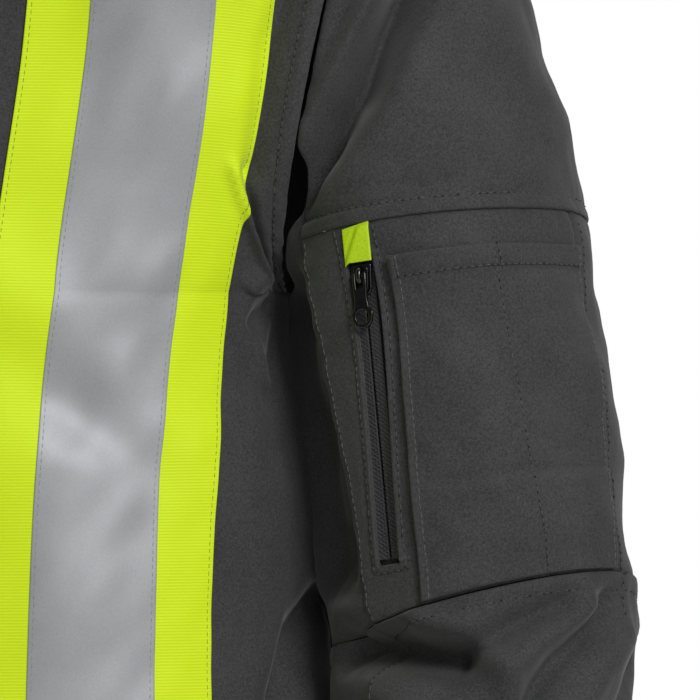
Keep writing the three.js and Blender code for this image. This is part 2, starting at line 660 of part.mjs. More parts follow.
// v runs up the front from the waist band (0) to the shoulder seam (0.5) and down the back (1).
function verticalBand(width) {
  return (u, v) => {
    const face = v <= 0.5 ? -1 : 1;
    const r = rowAt(face, v <= 0.5 ? 2 * v : 2 - 2 * v, BAND_FIRST_ROW);
    return torso(face, alongRow(face, r, bandMiddle(face, r), (u - 0.5) * width), r);
  };
}
const bandInner = LAYER_GAP;
const tapeInner = bandInner + BAND_THICK + 0.7;
const TAPE_THICK = BAND_THICK / 2;
const RIDGE = 0.6; // how much higher the bands stand where they cross the shoulder seam
const overShoulder = (height) => (u, v) => height + RIDGE * Math.exp(-(((v - 0.52) / 0.06) ** 2));
function overShoulderStrip(width, across, height, thick) {
  const steps = 2 * BAND_STEPS;
  return shell(verticalBand(width), across, steps, overShoulder(height), overShoulder(height + thick), insideTorso);
}
addPair("contrast_band", overShoulderStrip(BAND_WIDTH, 7, bandInner, BAND_THICK), LIME);
addPair("reflective_tape", overShoulderStrip(TAPE_WIDTH, 4, tapeInner, TAPE_THICK), REFLECTIVE);

// The waist band runs round the coat from one front edge to the other. u = 0 and 1 are the front edges.
function waistBand(low, high) {
  return (u, v) => {
    const turn = 4 * u;
    const part = Math.min(3, Math.max(0, Math.floor(turn)));
    const across = turn - part;
    const face = part === 0 || part === 3 ? -1 : 1;
    const q = part % 2 === 0 ? across : 1 - across;
    const r = rowOfHeight(mix(low, high, v));
    const p = torso(face, face < 0 ? mix(frontStart(r), 1, q) : q, r);
    return part < 2 ? p : flip(p);
  };
}
const waistTop = WAIST_BAND_TOP_Z;
const waistLow = WAIST_BAND_TOP_Z - BAND_WIDTH;
const tapeMargin = (BAND_WIDTH - TAPE_WIDTH) / 2;
add("waist_band", shell(waistBand(waistLow, waistTop), 40, 1, bandInner, bandInner + BAND_THICK, insideTorso), LIME);
add(
  "waist_reflective_tape",
  shell(waistBand(waistLow + tapeMargin, waistTop - tapeMargin), 40, 1, tapeInner, tapeInner + TAPE_THICK, insideTorso),
  REFLECTIVE,
);

// ---- Sleeves ----
// Seam angles, which drift a little down the sleeve.
const seamAngle = (top, foot, z) => mix(top, foot, clamp((CAP_SEAM_Z - z) / (CAP_SEAM_Z - ELBOW_SEAM_Z))) * degrees;
const frontSeam = (z) => seamAngle(-43, -38, z);
const outerSeam = (z) => seamAngle(72, 71, z);
const backSeam = () => 192 * degrees;
const angleGap = (z, gap) => gap / through(halfWidths, z);

// A sleeve panel between two seams and two heights; each height may depend on the angle.
function sleevePanel(from, to, high, low) {
  return (u, v) => {
    const guide = mix(low(Math.PI / 4), CAP_SEAM_Z, v);
    const gap = angleGap(guide, SEAM_GAP / 2);
    const rough = mix(from(guide) + gap, to(guide) - gap, u);
    const z = mix(low(rough), high(rough), v);
    const angle = mix(from(z) + gap, to(z) - gap, u);
    return sleeve(angle, z);
  };
}
const armholeEdge = (angle) => sleeveStart(angle) - ARMHOLE_GAP;
const at = (z, gap) => () => z + gap;
const elbowSeam = (gap) => (angle) =>
  ELBOW_SEAM_Z + ELBOW_SEAM_TILT * Math.sin(angle + ELBOW_SEAM_TURN * degrees) + gap;
const wrapped = (seam) => (z) => seam(z) + 2 * Math.PI;
const half = SEAM_GAP / 2;

const capShell = shell(
  sleevePanel(frontSeam, backSeam, armholeEdge, at(CAP_SEAM_Z, half)), 14, 4, -FABRIC, 0, insideSleeve,
);
const pocketShell = shell(
  sleevePanel(frontSeam, outerSeam, at(CAP_SEAM_Z, -half), elbowSeam(half)), 7, 4, -FABRIC, 0, insideSleeve,
);
const rearShell = shell(
  sleevePanel(outerSeam, backSeam, at(CAP_SEAM_Z, -half), elbowSeam(half)), 6, 5, -FABRIC, 0, insideSleeve,
);
const underShell = shell(
  sleevePanel(backSeam, wrapped(frontSeam), armholeEdge, elbowSeam(half)), 8, 8, -FABRIC, 0, insideSleeve,
);
const insideForearm = (p) => sleeveMiddle(p.z);
const lowerShell = shell(
  sleevePanel(frontSeam, backSeam, elbowSeam(-half), at(CUFF_SEAM_Z, half)), 12, 8, -FABRIC, 0, insideForearm,
);
const lowerUnderShell = shell(
  sleevePanel(backSeam, wrapped(frontSeam), elbowSeam(-half), at(CUFF_SEAM_Z, half)), 8, 8, -FABRIC, 0, insideForearm,
);
const cuffRing = ring(
  (u, v) => sleeve(u * 2 * Math.PI, mix(CUFF_END_Z, CUFF_SEAM_Z - half, v)), 20, 1, -FABRIC, 0, insideForearm,
);
const TAB_ROOT = 168 * degrees;
const TAB_TIP = 72 * degrees;
const tabShell = shell(
  (u, v) => sleeve(mix(TAB_TIP, TAB_ROOT, u), mix(CUFF_END_Z + 7, CUFF_SEAM_Z - 7, v)), 7, 1, 0.9, 2.7, insideForearm,
);
addPair("sleeve_cap", capShell, SOFTSHELL);
addPair("sleeve_rear_panel", rearShell, SOFTSHELL);
addPair("sleeve_under_panel", underShell, SOFTSHELL);
addPair("forearm_panel", lowerShell, SOFTSHELL);
addPair("forearm_under_panel", lowerUnderShell, SOFTSHELL);
addPair("cuff", cuffRing, SOFTSHELL);
addPair("cuff_tab", tabShell, SOFTSHELL);

// ---- Left sleeve pocket: zip with its contrast garage, pen pocket and bag. The right sleeve has a plain panel. ----
const ZIP_ANGLE_TOP = -18.2 * degrees;
const ZIP_ANGLE_FOOT = -25 * degrees;
const ZIP_TOP_Z = CAP_SEAM_Z - 15.5;
const zipTop = sleeve(ZIP_ANGLE_TOP, ZIP_TOP_Z);
const zipFoot = sleeve(ZIP_ANGLE_FOOT, ZIP_TOP_Z - POCKET_ZIP_LENGTH);
const zipAcross = sleeve(ZIP_ANGLE_TOP + 0.1, CAP_SEAM_Z - 60).sub(sleeve(ZIP_ANGLE_TOP - 0.1, CAP_SEAM_Z - 60));
const sleeveZip = zipGroup(zipTop, zipFoot, zipTop.clone().add(zipAcross));
addPocketZip("sleeve_zip", "", sleeveZip, POCKET_ZIP_LENGTH);
add("sleeve_zip_garage", box(-6, 6, -1.2, -0.4, 0.4, 17), LIME, sleeveZip);
coat.add(sleeveZip);
add("sleeve_pocket_panel", cut(pocketShell, windowTool(sleeveZip, POCKET_ZIP_LENGTH)), SOFTSHELL);
add("sleeve_front_panel_right", mirrored(pocketShell), SOFTSHELL);

const PEN_TOP_Z = CAP_SEAM_Z - 15;
const penEdge = (v) => mix(-12.5, -8, v) * degrees; // free edge of the pen pocket, beside the zip
const penShell = shell(
  (u, v) => {
    const edge = mix(ELBOW_SEAM_Z, PEN_TOP_Z, v);
    const angle = mix(penEdge(v), outerSeam(edge) - 1.5 * degrees, u);
    return sleeve(angle, mix(elbowSeam(1)(angle), PEN_TOP_Z, v));
  },
  6, 4, LAYER_GAP - 0.4, LAYER_GAP + 0.8, insideSleeve,
);
add("pen_pocket", penShell, SOFTSHELL);
const bagShell = shell(
  (u, v) => sleeve(mix(-36, 50, u) * degrees, mix(ELBOW_SEAM_Z + 5, CAP_SEAM_Z - 4, v)),
  5, 3, -BAG_DEPTH - 1, -BAG_DEPTH, insideSleeve,
);
add("sleeve_pocket_bag", bagShell, FLEECE);

// ---- Hanger loop: a flat strip that stands off the inside of the back neck. Its lower edge is the plane z = 0. ----
const LOOP = { half: 30, bridge: 23, thick: 1.6, height: 9 };
LOOP.rootY = BODY_Y + BACK_NECK_DEPTH * Math.sqrt(1 - (LOOP.half / NECK_HALF_WIDTH) ** 2) - FABRIC - 0.5;
const loopShape = outline([
  [-LOOP.half, LOOP.rootY], [-LOOP.bridge, -LOOP.thick / 2], [LOOP.bridge, -LOOP.thick / 2], [LOOP.half, LOOP.rootY],
  [LOOP.half - 2.4, LOOP.rootY], [LOOP.bridge - 1, LOOP.thick / 2], [-LOOP.bridge + 1, LOOP.thick / 2],
  [-LOOP.half + 2.4, LOOP.rootY],
]);
const loop = new THREE.ExtrudeGeometry(loopShape, { depth: LOOP.height, bevelEnabled: false });
add("hanger_loop", loop, ZIP_TAPE);

export default coat;
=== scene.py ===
"""Softshell work coat with high-visibility bands: the visible model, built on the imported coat's frame.

Shapes are worked out in millimetres, with +Z up, the coat's front towards -Y and the wearer's left at +X.
The torso, the collar and the sleeves are smooth surfaces. Every panel is a closed sheet of cloth laid on one
of them and pushed in and out along its normal by folds, seams and puckers.
"""
import math

import bpy
import numpy as np
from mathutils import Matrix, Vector


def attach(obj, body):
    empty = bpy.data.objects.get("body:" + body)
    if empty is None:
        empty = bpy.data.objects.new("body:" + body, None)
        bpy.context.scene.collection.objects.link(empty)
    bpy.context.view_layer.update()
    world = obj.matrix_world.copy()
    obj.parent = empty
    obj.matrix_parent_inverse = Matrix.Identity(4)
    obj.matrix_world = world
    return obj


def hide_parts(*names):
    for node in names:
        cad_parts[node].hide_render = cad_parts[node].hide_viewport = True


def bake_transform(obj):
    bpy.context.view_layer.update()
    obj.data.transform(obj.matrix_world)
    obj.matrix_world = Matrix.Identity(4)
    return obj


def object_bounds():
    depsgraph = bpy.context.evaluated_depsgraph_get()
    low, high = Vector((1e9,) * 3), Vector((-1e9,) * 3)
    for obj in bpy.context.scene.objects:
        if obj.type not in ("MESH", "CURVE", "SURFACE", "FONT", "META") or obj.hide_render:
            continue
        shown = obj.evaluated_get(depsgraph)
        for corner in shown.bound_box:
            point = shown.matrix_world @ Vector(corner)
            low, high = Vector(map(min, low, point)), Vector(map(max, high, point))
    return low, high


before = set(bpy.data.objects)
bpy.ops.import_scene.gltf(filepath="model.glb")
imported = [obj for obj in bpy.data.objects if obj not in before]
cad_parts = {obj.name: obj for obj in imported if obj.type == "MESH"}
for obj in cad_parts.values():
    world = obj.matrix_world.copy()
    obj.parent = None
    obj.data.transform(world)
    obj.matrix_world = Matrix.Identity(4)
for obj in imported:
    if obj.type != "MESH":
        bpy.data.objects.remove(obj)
CAD_BOX = [list(corner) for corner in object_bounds()]

bl_info = {
    "name": "Softshell work coat",
    "version": (1, 0, 0),
    "blender": (4, 5, 0),
    "location": "3D View > Sidebar > Coat",
    "description": "Builds the cloth, zips, bands and stitching of a work coat on its packed frame",
    "category": "Object",
}

FABRIC = 2.4  # bonded softshell with its fleece back
SEAM_GAP = 0.06  # panels that are sewn together all but touch
ARMHOLE_GAP = 0.3  # between the torso panels and the sleeve along the armhole
HEM_Z = -725
UNDERARM_Z = -258
FRONT_NECK_Z = -62
BACK_NECK_Z = 12
SIDE_NECK_Z = 14
NECK_HALF_WIDTH = 76
FRONT_NECK_DEPTH = 93  # from the middle plane to the zip line at the front neck
BACK_NECK_DEPTH = 68
FRONT_SLOPE = 0.066  # how far the zip line leans forward for each millimetre down
SIDE_X = 194  # half width at the underarm
# height, and what is added to the half width there
SIDE_EASE = [(-725, 28), (-480, 18), (-380, 12.5), (-340, 9.5), (-300, 2.5), (-258, 0)]
# height, and depth behind the middle plane there
BACK_DEPTHS = [(-725, 124), (-480, 108), (-330, 117), (-190, 121), (-70, 102), (12, 68)]
COLLAR_HEIGHT = 58
COLLAR_TAPER = 0.045
BODY_Y = -52  # middle plane of the torso, front to back
SUPER = 2.5  # how square the cross-section is
UNDERARM_R = 0.5  # row of the torso at the underarm
NECK_SHARE = {-1: 0.62, 1: 0.78}  # share of the armhole's rows that lie below the neckline
RAD_TO_DEG = 180 / math.pi

ARMHOLE_HALF_HEIGHT = 108
ARMHOLE_Z = UNDERARM_Z + ARMHOLE_HALF_HEIGHT
ARMHOLE_HALF_DEPTH = 66
SHOULDER_X = SIDE_X + 50

SLEEVE_HALF_WIDTH = 63
SLEEVE_HALF_DEPTH = 66
SLEEVE_X = SIDE_X + SLEEVE_HALF_WIDTH + 8
SLEEVE_Y = -12
SLEEVE_Z = -301
SLEEVE_OUT = 0.139  # outward and forward drift of the upper sleeve for each millimetre down
SLEEVE_FORWARD = 0.1175
FOREARM_OUT = 0.02
FOREARM_FORWARD = 0.22
ELBOW_Z = -402
ELBOW_BLEND = 36  # a parabola this long each way joins the two straight lengths
CUFF_RADIUS = 45
CUFF_END_Z = -692
CUFF_LENGTH = 42
CUFF_SEAM_Z = CUFF_END_Z + CUFF_LENGTH
CAP_SEAM_Z = -235.5  # seam above the pocket panel, at the sleeve's middle line
ELBOW_SEAM_Z = -389  # seam below it
ELBOW_SEAM_TILT = 10.7  # how much higher it runs on the outer side
ELBOW_SEAM_TURN = math.radians(15)


def mix(a, b, t):
    return a + (b - a) * t


def clamp(t):
    return np.clip(t, 0.0, 1.0)


def smooth(t):
    t = clamp(t)
    return t * t * (3 - 2 * t)


def vec(x, y, z):
    return np.stack(np.broadcast_arrays(x, y, z), axis=-1).astype(float)


def through(pairs, at):
    """The value at a place on a smooth curve through (place, value) pairs."""
    xs, ys = np.array(pairs, float).T
    before = np.maximum(np.arange(len(xs)) - 1, 0)
    after = np.minimum(np.arange(len(xs)) + 1, len(xs) - 1)
    slopes = (ys[after] - ys[before]) / (xs[after] - xs[before])
    i = np.clip(np.searchsorted(xs, at) - 1, 0, len(xs) - 2)
    h = xs[i + 1] - xs[i]
    t = clamp((at - xs[i]) / h)
    return (
        (2 * t**3 - 3 * t**2 + 1) * ys[i]
        + (t**3 - 2 * t**2 + t) * h * slopes[i]
        + (3 * t**2 - 2 * t**3) * ys[i + 1]
        + (t**3 - t**2) * h * slopes[i + 1]
    )


def side_x(z):
    return SIDE_X + through(SIDE_EASE, z)


def front_depth(z):
    return FRONT_NECK_DEPTH + FRONT_SLOPE * (FRONT_NECK_Z - z)


def armhole(angle):
    up = np.sin(angle)
    return vec(
        mix(SIDE_X, SHOULDER_X, (1 + up) / 2),
        BODY_Y - ARMHOLE_HALF_DEPTH * np.cos(angle),
        ARMHOLE_Z + ARMHOLE_HALF_HEIGHT * up,
    )


def neckline(face, turn):
    depth = FRONT_NECK_DEPTH if face < 0 else BACK_NECK_DEPTH
    low = FRONT_NECK_Z if face < 0 else BACK_NECK_Z
    rise = np.maximum(0, 1 - np.cos(turn)) ** 0.8
    return vec(
        NECK_HALF_WIDTH * np.sin(turn), BODY_Y + face * depth * np.cos(turn), mix(low, SIDE_NECK_Z, rise)
    )


def super_radius(turn):
    return (np.abs(np.cos(turn)) ** SUPER + np.abs(np.sin(turn)) ** SUPER) ** (-1 / SUPER)


def torso(face, q, r):
    """A point of the torso: q runs from the middle (0) to the side (1), r from hem (0) to shoulder (1)."""
    q, r = np.broadcast_arrays(np.asarray(q, float), np.asarray(r, float))
    above = (r - UNDERARM_R) / (1 - UNDERARM_R)
    share = NECK_SHARE[face]
    low_z = mix(HEM_Z, UNDERARM_Z, r / UNDERARM_R)
    neck_z = FRONT_NECK_Z if face < 0 else BACK_NECK_Z
    mid_z = np.where(above <= 0, low_z, mix(UNDERARM_Z, neck_z, above / share))
    depth = front_depth(mid_z) if face < 0 else through(BACK_DEPTHS, mid_z)
    inner = vec(0, BODY_Y + face * depth, mid_z)
    turn = np.radians(90 * (above - share) / (1 - share))
    inner = np.where((above >= share)[..., None], neckline(face, np.maximum(turn, 0)), inner)
    angle = np.radians(-90 + 180 * above)
    outer = armhole(angle if face < 0 else math.pi - angle)
    outer = np.where((above <= 0)[..., None], vec(side_x(low_z), BODY_Y, low_z), outer)
    most = np.radians(mix(90, 56, smooth(above * 2.2)))
    radius = super_radius(q * most)
    end = super_radius(most)
    across = radius * np.sin(q * most) / (end * np.sin(most))
    low = end * np.cos(most)
    forward = (radius * np.cos(q * most) - low) / (1 - low)
    return vec(
        mix(inner[..., 0], outer[..., 0], across),
        mix(outer[..., 1], inner[..., 1], forward),
        mix(inner[..., 2], outer[..., 2], q),
    )


def across_at_x(face, r, x):
    low = np.zeros(np.broadcast(r, x).shape)
    high = np.ones_like(low)
    for _ in range(30):
        mid = (low + high) / 2
        less = torso(face, mid, r)[..., 0] < x
        low = np.where(less, mid, low)
        high = np.where(less, high, mid)
    return (low + high) / 2


def along_row(face, r, q, distance):
    for _ in range(12):
        gap = torso(face, q + 0.005, r) - torso(face, q - 0.005, r)
        q = q + distance / 12 / (np.linalg.norm(gap, axis=-1) / 0.01)
    return q


def row_of_height(z):
    return UNDERARM_R * (z - HEM_Z) / (UNDERARM_Z - HEM_Z)


def sleeve_middle(z):
    z = np.asarray(z, float)
    drop = SLEEVE_Z - z
    past = drop - (SLEEVE_Z - ELBOW_Z)
    bend = np.where(past >= ELBOW_BLEND, past, np.maximum(0, past + ELBOW_BLEND) ** 2 / (4 * ELBOW_BLEND))
    return vec(
        SLEEVE_X + SLEEVE_OUT * drop + (FOREARM_OUT - SLEEVE_OUT) * bend,
        BODY_Y + SLEEVE_Y - SLEEVE_FORWARD * drop - (FOREARM_FORWARD - SLEEVE_FORWARD) * bend,
        z,
    )


HALF_WIDTHS = [
    (CUFF_END_Z, CUFF_RADIUS),
    (-560, mix(CUFF_RADIUS, SLEEVE_HALF_WIDTH, 0.33)),
    (-450, SLEEVE_HALF_WIDTH - 5),
    (-381, SLEEVE_HALF_WIDTH - 1.3),
    (SLEEVE_Z, SLEEVE_HALF_WIDTH),
    (-230, SLEEVE_HALF_WIDTH - 2.5),
    (-42, SLEEVE_HALF_WIDTH),
]
HALF_DEPTHS = [
    (CUFF_END_Z, CUFF_RADIUS),
    (-560, mix(CUFF_RADIUS, SLEEVE_HALF_DEPTH, 0.38)),
    (-450, SLEEVE_HALF_DEPTH - 4),
    (-381, SLEEVE_HALF_DEPTH - 1),
    (SLEEVE_Z, SLEEVE_HALF_DEPTH),
    (-42, SLEEVE_HALF_DEPTH),
]


def unit(v):
    return v / np.maximum(np.linalg.norm(v, axis=-1, keepdims=True), 1e-9)


def dot(a, b):
    return (a * b).sum(axis=-1, keepdims=True)


def sleeve_frame(z):
    down = unit(sleeve_middle(z - 1) - sleeve_middle(z + 1))
    out = unit(np.array([1.0, 0, 0]) - down * down[..., :1])
    front = np.cross(out, down)
    front = np.where(front[..., 1:2] > 0, -front, front)
    return down, out, front


def tube(angle, z):
    _, out, front = sleeve_frame(z)
    wide = (through(HALF_WIDTHS, z) * np.sin(angle))[..., None]
    deep = (through(HALF_DEPTHS, z) * np.cos(angle))[..., None]
    return sleeve_middle(z) + out * wide + front * deep


def sleeve_start(angle):
    down = sleeve_frame(np.array(float(ARMHOLE_Z)))[0]
    return ARMHOLE_Z - dot(armhole(angle) - sleeve_middle(ARMHOLE_Z), down)[..., 0] * -down[2]


def sleeve(angle, z):
    """A point of the left sleeve: angle 0 is its front, 90 degrees its outer side, z its ring's middle."""
    angle, z = np.broadcast_arrays(np.asarray(angle, float), np.asarray(z, float))
    start = sleeve_start(angle)
    pull = armhole(angle) - tube(angle, start)
    reach = mix(120, 200, clamp(np.sin(angle)))
    fade = (1 - clamp((start - z) / reach)) ** 2
    return tube(angle, z) + pull * fade[..., None]


def elbow_seam(angle):
    return ELBOW_SEAM_Z + ELBOW_SEAM_TILT * np.sin(angle + ELBOW_SEAM_TURN)


RIPPLE_WAVES = 9


def ripple(point, seed, length):
    """A soft random wave field with a spread of about one, the same on every panel that it crosses."""
    rng = np.random.default_rng(seed)
    total = np.zeros(point.shape[:-1])
    for _ in range(RIPPLE_WAVES):
        way = unit(rng.normal(size=3))
        turns = 2 * math.pi / (length * rng.uniform(0.7, 1.6))
        total += np.sin(point @ way * turns + rng.uniform(0, 2 * math.pi))
    return total / math.sqrt(RIPPLE_WAVES / 2)


def folds(across, along, marks):
    """The height of listed folds. A mark is its height, its width and the places its crest crosses."""
    total = np.zeros(np.broadcast(across, along).shape)
    for height, width, *path in marks:
        nearest = np.full(total.shape, 1e6)
        for (x0, y0), (x1, y1) in zip(path, path[1:]):
            dx, dy = x1 - x0, y1 - y0
            t = clamp(((across - x0) * dx + (along - y0) * dy) / (dx * dx + dy * dy))
            nearest = np.minimum(nearest, np.hypot(across - x0 - t * dx, along - y0 - t * dy))
        total += height * np.exp(-((nearest / width) ** 2))
    return total


def bump(distance, width):
    return np.exp(-((distance / width) ** 2))


def lapped_seam(distance, stitch, rise=0.6):
    """The side of a seam that its allowance lies under, raised as far as the groove of its topstitching."""
    return rise * smooth((stitch + 1.5 - distance) / 2.5) - 0.95 * bump(distance - stitch, 1.4)


def tucked_seam(distance, drop=0.6):
    return -drop * np.exp(-np.maximum(distance, 0) / 2.2)


def pucker(along, distance, size, pitch, reach, seed):
    """Small gathers across a sewn line, uneven along it."""
    wander = 1.7 * np.sin(along / pitch * 0.9 + seed) + 0.9 * np.sin(along / pitch * 2.3 + 2 * seed)
    strength = 0.6 + 0.4 * np.sin(along / pitch * 0.53 + seed * 3)
    return size * strength * np.sin(2 * math.pi * along / pitch + wander) * np.exp(-np.abs(distance) / reach)


DEGREE_MM = 1.12  # length of one degree round the sleeve
CAP_STITCH = 6.2  # from a seam to its topstitching
ELBOW_STITCH = 6.6
LIP_STITCH = 3.4  # from the edge of a zip's opening to its stitching
PEN_HEM = 8.8
PEN_EDGE = (-12.5, -8)  # angles of the pen pocket's front edge and of its division, at the foot and the top
PEN_DIVISION = (33, 29)
HAND_BAG_ACROSS = (0.13, 0.66)  # sides of the hand pocket's bag, as shares of the front panel's width
HAND_BAG_LOW_Z = -604

SLEEVE_FOLDS = [
    # the roll of cloth below the shoulder seam, with a hollow on each side
    (9, 6, (52, -108), (33, -131), (17, -149), (4, -166), (-9, -183), (-28, -199)),
    (-5, 4.5, (22, -136), (11, -149), (0, -164), (-10, -178), (-20, -189)),
    (-21, 6.5, (60, -112), (44, -128), (28, -148), (12, -168), (-1, -185), (-20, -204), (-46, -222)),
    (2.5, 12, (60, -136), (40, -154), (22, -176), (2, -200)),
    # the flat pocket, creased across once
    (-0.9, 2, (-2, -341), (24, -340), (75, -338)),
    (0.7, 3, (-2, -345), (24, -344), (75, -342)),
    (-1.6, 9, (40, -262), (46, -300), (52, -330)),
    (1.4, 10, (14, -300), (20, -330), (30, -370)),
    # the hollow at the front of the elbow, and the folds that run up from it to the outside
    (-21, 8, (-56, -402), (-30, -406), (-14, -410), (-1, -413)),
    (6, 6, (-16, -396), (2, -402), (16, -418), (22, -440)),
    (-7, 5, (4, -410), (20, -400), (42, -392)),
    (5, 6, (18, -418), (32, -405), (54, -393)),
    (-8, 5.5, (24, -434), (36, -416), (52, -402), (66, -391)),
    (5, 7, (44, -436), (58, -416), (78, -402)),
    (-5, 6, (64, -444), (78, -424), (98, -408)),
    (4, 8, (-34, -424), (-20, -438), (0, -456)),
]


def forearm_folds():
    """Slack folds that stack up from the elbow to the cuff, slanting one way and then the other."""
    rng = np.random.default_rng(5)
    marks = []
    for row in range(8):
        z = -462 - 24 * row
        for turn in range(4):
            middle = -135 + 90 * turn + 40 * (row % 2) + rng.uniform(-18, 18)
            half, lean = rng.uniform(26, 44), rng.uniform(6, 15) * (1 if (row + turn) % 2 else -1)
            size = rng.uniform(2.2, 5.0)
            path = [(middle - half, z - lean), (middle, z + rng.uniform(-3, 3)), (middle + half, z + lean)]
            marks.append((size, 9, *path))
            marks.append((-0.8 * size, 7, *[(a, b - 13) for a, b in path]))
    return marks


FOREARM_FOLDS = forearm_folds()


def sleeve_relief(angle, z, point, side):
    """How far the sleeve's cloth stands off its smooth surface."""
    degrees = (np.degrees(angle) + 168) % 360 - 168
    around = degrees * DEGREE_MM
    scaled = [(h, w, *[(a * DEGREE_MM, b) for a, b in path]) for h, w, *path in SLEEVE_FOLDS + FOREARM_FOLDS]
    below = sleeve_start(angle) - z
    sewn = smooth(below / 14)
    slack = mix(0.35, 1, sewn) * smooth((z - CUFF_SEAM_Z - 4) / 26)
    height = folds(around if side > 0 else around + 5, z, scaled) * slack
    height += (
        0.9 * ripple(point, 11 + side, 46) * sewn * mix(1, 0.45, bump(degrees - 25, 50) * bump(z + 315, 60))
    )
    height += 0.16 * ripple(point, 23 + side, 13) * sewn
    height += tucked_seam(below, 2.2) + pucker(angle * 87, below, 0.5, 9, 7, 1)
    cap = z - CAP_SEAM_Z
    upper = below > 0
    in_cap = upper & (degrees > front_seam(z) * RAD_TO_DEG) & (cap > 0)
    height += np.where(
        in_cap, lapped_seam(cap, CAP_STITCH) + pucker(around, cap - CAP_STITCH, 0.32, 6.5, 4, 2), 0
    )
    height += np.where(in_cap, -1.5 * bump(cap - 12, 4) * bump(degrees - 10, 16), 0)
    pocket = (cap <= 0) & (z > elbow_seam(angle)) & (degrees > -60)
    height += np.where(pocket, tucked_seam(-cap) + pucker(around, -cap, 0.3, 8, 5, 3), 0)
    elbow = elbow_seam(angle) - z
    height += np.where(
        elbow > 0,
        lapped_seam(elbow, ELBOW_STITCH, 0.75) + pucker(around, elbow - ELBOW_STITCH, 0.5, 6, 4.5, 4), 0
    )
    height += np.where(elbow <= 0, tucked_seam(-elbow, 0.6) + pucker(around, -elbow, 0.35, 7, 4, 5), 0)
    front = (degrees - front_seam(z) * RAD_TO_DEG) * DEGREE_MM
    height += (
        np.where(front > 0, 0.5 * smooth((3 - front) / 2), -0.6 * np.exp(front / 2.5)) * (z < CAP_SEAM_Z)
    )
    height += pucker(z, front, 0.5, 13, 7, 6) * (np.abs(front) < 40)
    # the cloth turns sharply inwards behind the front seam
    rows = smooth((CAP_SEAM_Z - 4 - z) / 22) * smooth((z - ELBOW_SEAM_Z - 4) / 24)
    height += rows * (8.5 * bump(front + 86, 30) - 12 * smooth(-front / 13) * smooth((front + 54) / 24))
    outer = (degrees - 72) * DEGREE_MM
    height += (
        np.where(cap < 0, -0.9 * bump(outer, 1.6) + pucker(z, outer, 0.3, 9, 5, 7), 0)
        * (z > elbow_seam(angle))
    )
    back = np.minimum(np.abs(degrees + 168), np.abs(degrees - 192)) * DEGREE_MM
    return height - 0.7 * np.exp(-back / 2) + pucker(z, back, 0.35, 11, 6, 8)


TORSO_MM = 235  # width that q = 1 stands for where folds are placed
FRONT_FOLDS = [
    # tucks that the underarm pulls in towards the band
    (4.5, 4, (192, -210), (194, -219), (197, -231), (202, -247)),
    (-5, 4, (201, -212), (204, -230), (208, -246)),
    (4, 4, (200, -252), (188, -254), (177, -257)),
    (-4.5, 4, (198, -263), (184, -267), (175, -272)),
    (3, 4.5, (174, -274), (179, -283), (186, -294)),
    (-2.6, 6, (208, -264), (196, -280), (184, -300)),
    # the slack beside the armhole
    (-6.5, 8, (214, -96), (212, -142), (211, -166), (212, -186), (207, -208)),
    # the side, which swells below the underarm and folds back above the waist
    (4, 18, (214, -306), (222, -340), (228, -366)),
    (-9, 8, (244, -376), (216, -383), (189, -395), (174, -420), (168, -452), (170, -500)),
    (3, 14, (206, -424), (200, -470)),
    (2.4, 15, (96, -330), (88, -400), (92, -480)),
    (-2.2, 13, (60, -360), (64, -440), (58, -540)),
    (2.8, 15, (196, -470), (190, -540), (200, -640)),
    (-2.8, 13, (164, -490), (158, -560), (166, -690)),
    (2.2, 13, (40, -180), (64, -240), (110, -292)),
    (-2.4, 12, (30, -206), (58, -268), (120, -330)),
    (2.4, 11, (30, -640), (80, -620), (140, -652)),
]
BACK_FOLDS = [
    (4.1, 9, (206, -236), (170, -262), (110, -276)),
    (-3.7, 8, (210, -256), (170, -284), (116, -296)),
    (3.7, 11, (222, -330), (180, -372), (120, -392)),
    (-3.7, 10, (226, -362), (184, -404), (130, -420)),
    (3.4, 14, (70, -120), (76, -200), (72, -290)),
    (-3.1, 12, (108, -110), (112, -200), (104, -280)),
    (3.1, 14, (150, -470), (146, -560), (156, -700)),
    (-3.1, 13, (110, -460), (104, -560), (112, -710)),
    (3.1, 15, (60, -480), (66, -600), (58, -715)),
    (-2.4, 12, (22, -430), (18, -560), (24, -700)),
]


def torso_relief(face, q, r, point, side):
    """How far the torso's cloth stands off its smooth surface."""
    z = point[..., 2]
    across = q * TORSO_MM
    height = folds(across, z, FRONT_FOLDS if face < 0 else BACK_FOLDS) * (1 if side > 0 else 0.8)
    flipped = point * np.array([side, 1, 1])
    calm = smooth((q - 0.05) / 0.12) if face < 0 else 1
    height += 1.1 * ripple(flipped, 31 + side if face < 0 else 30, 62) * calm
    height += 0.16 * ripple(flipped, 41, 15) * calm
    row = (
        np.linalg.norm(torso(face, np.ones_like(q), r) - torso(face, np.full_like(q, 0.98), r), axis=-1)
        / 0.02
    )
    edge = (1 - q) * row
    above = r > UNDERARM_R
    round_arm = (r - UNDERARM_R) * 360 / RAD_TO_DEG * 87
    height *= mix(0.3, 1, smooth(edge / 10)) if face < 0 else mix(0.2, 1, smooth(edge / 10))
    armhole_side = (
        lapped_seam(edge, 7, 1.1) + pucker(round_arm, edge - 6, 0.4, 5.2, 6, 2)
        + pucker(round_arm, edge, 0.5, 11, 9, 4)
    )
    side_seam = tucked_seam(edge, 1.0) + pucker(z, edge, 0.4, 10, 6, 3)
    side_seam += (5.5 * bump(z + 428, 42) + 3.5 * bump(z + 322, 62)) * bump(edge, 34)
    height += np.where(above, armhole_side, side_seam)
    hem = z - HEM_Z
    return (
        height + 0.5 * smooth((24 - hem) / 3) - 0.7 * bump(hem - 22, 1.5)
        + pucker(across, hem - 22, 0.35, 8, 6, 5)
    )


def seam_angle(top, foot, z):
    return np.radians(mix(top, foot, clamp((CAP_SEAM_Z - z) / (CAP_SEAM_Z - ELBOW_SEAM_Z))))


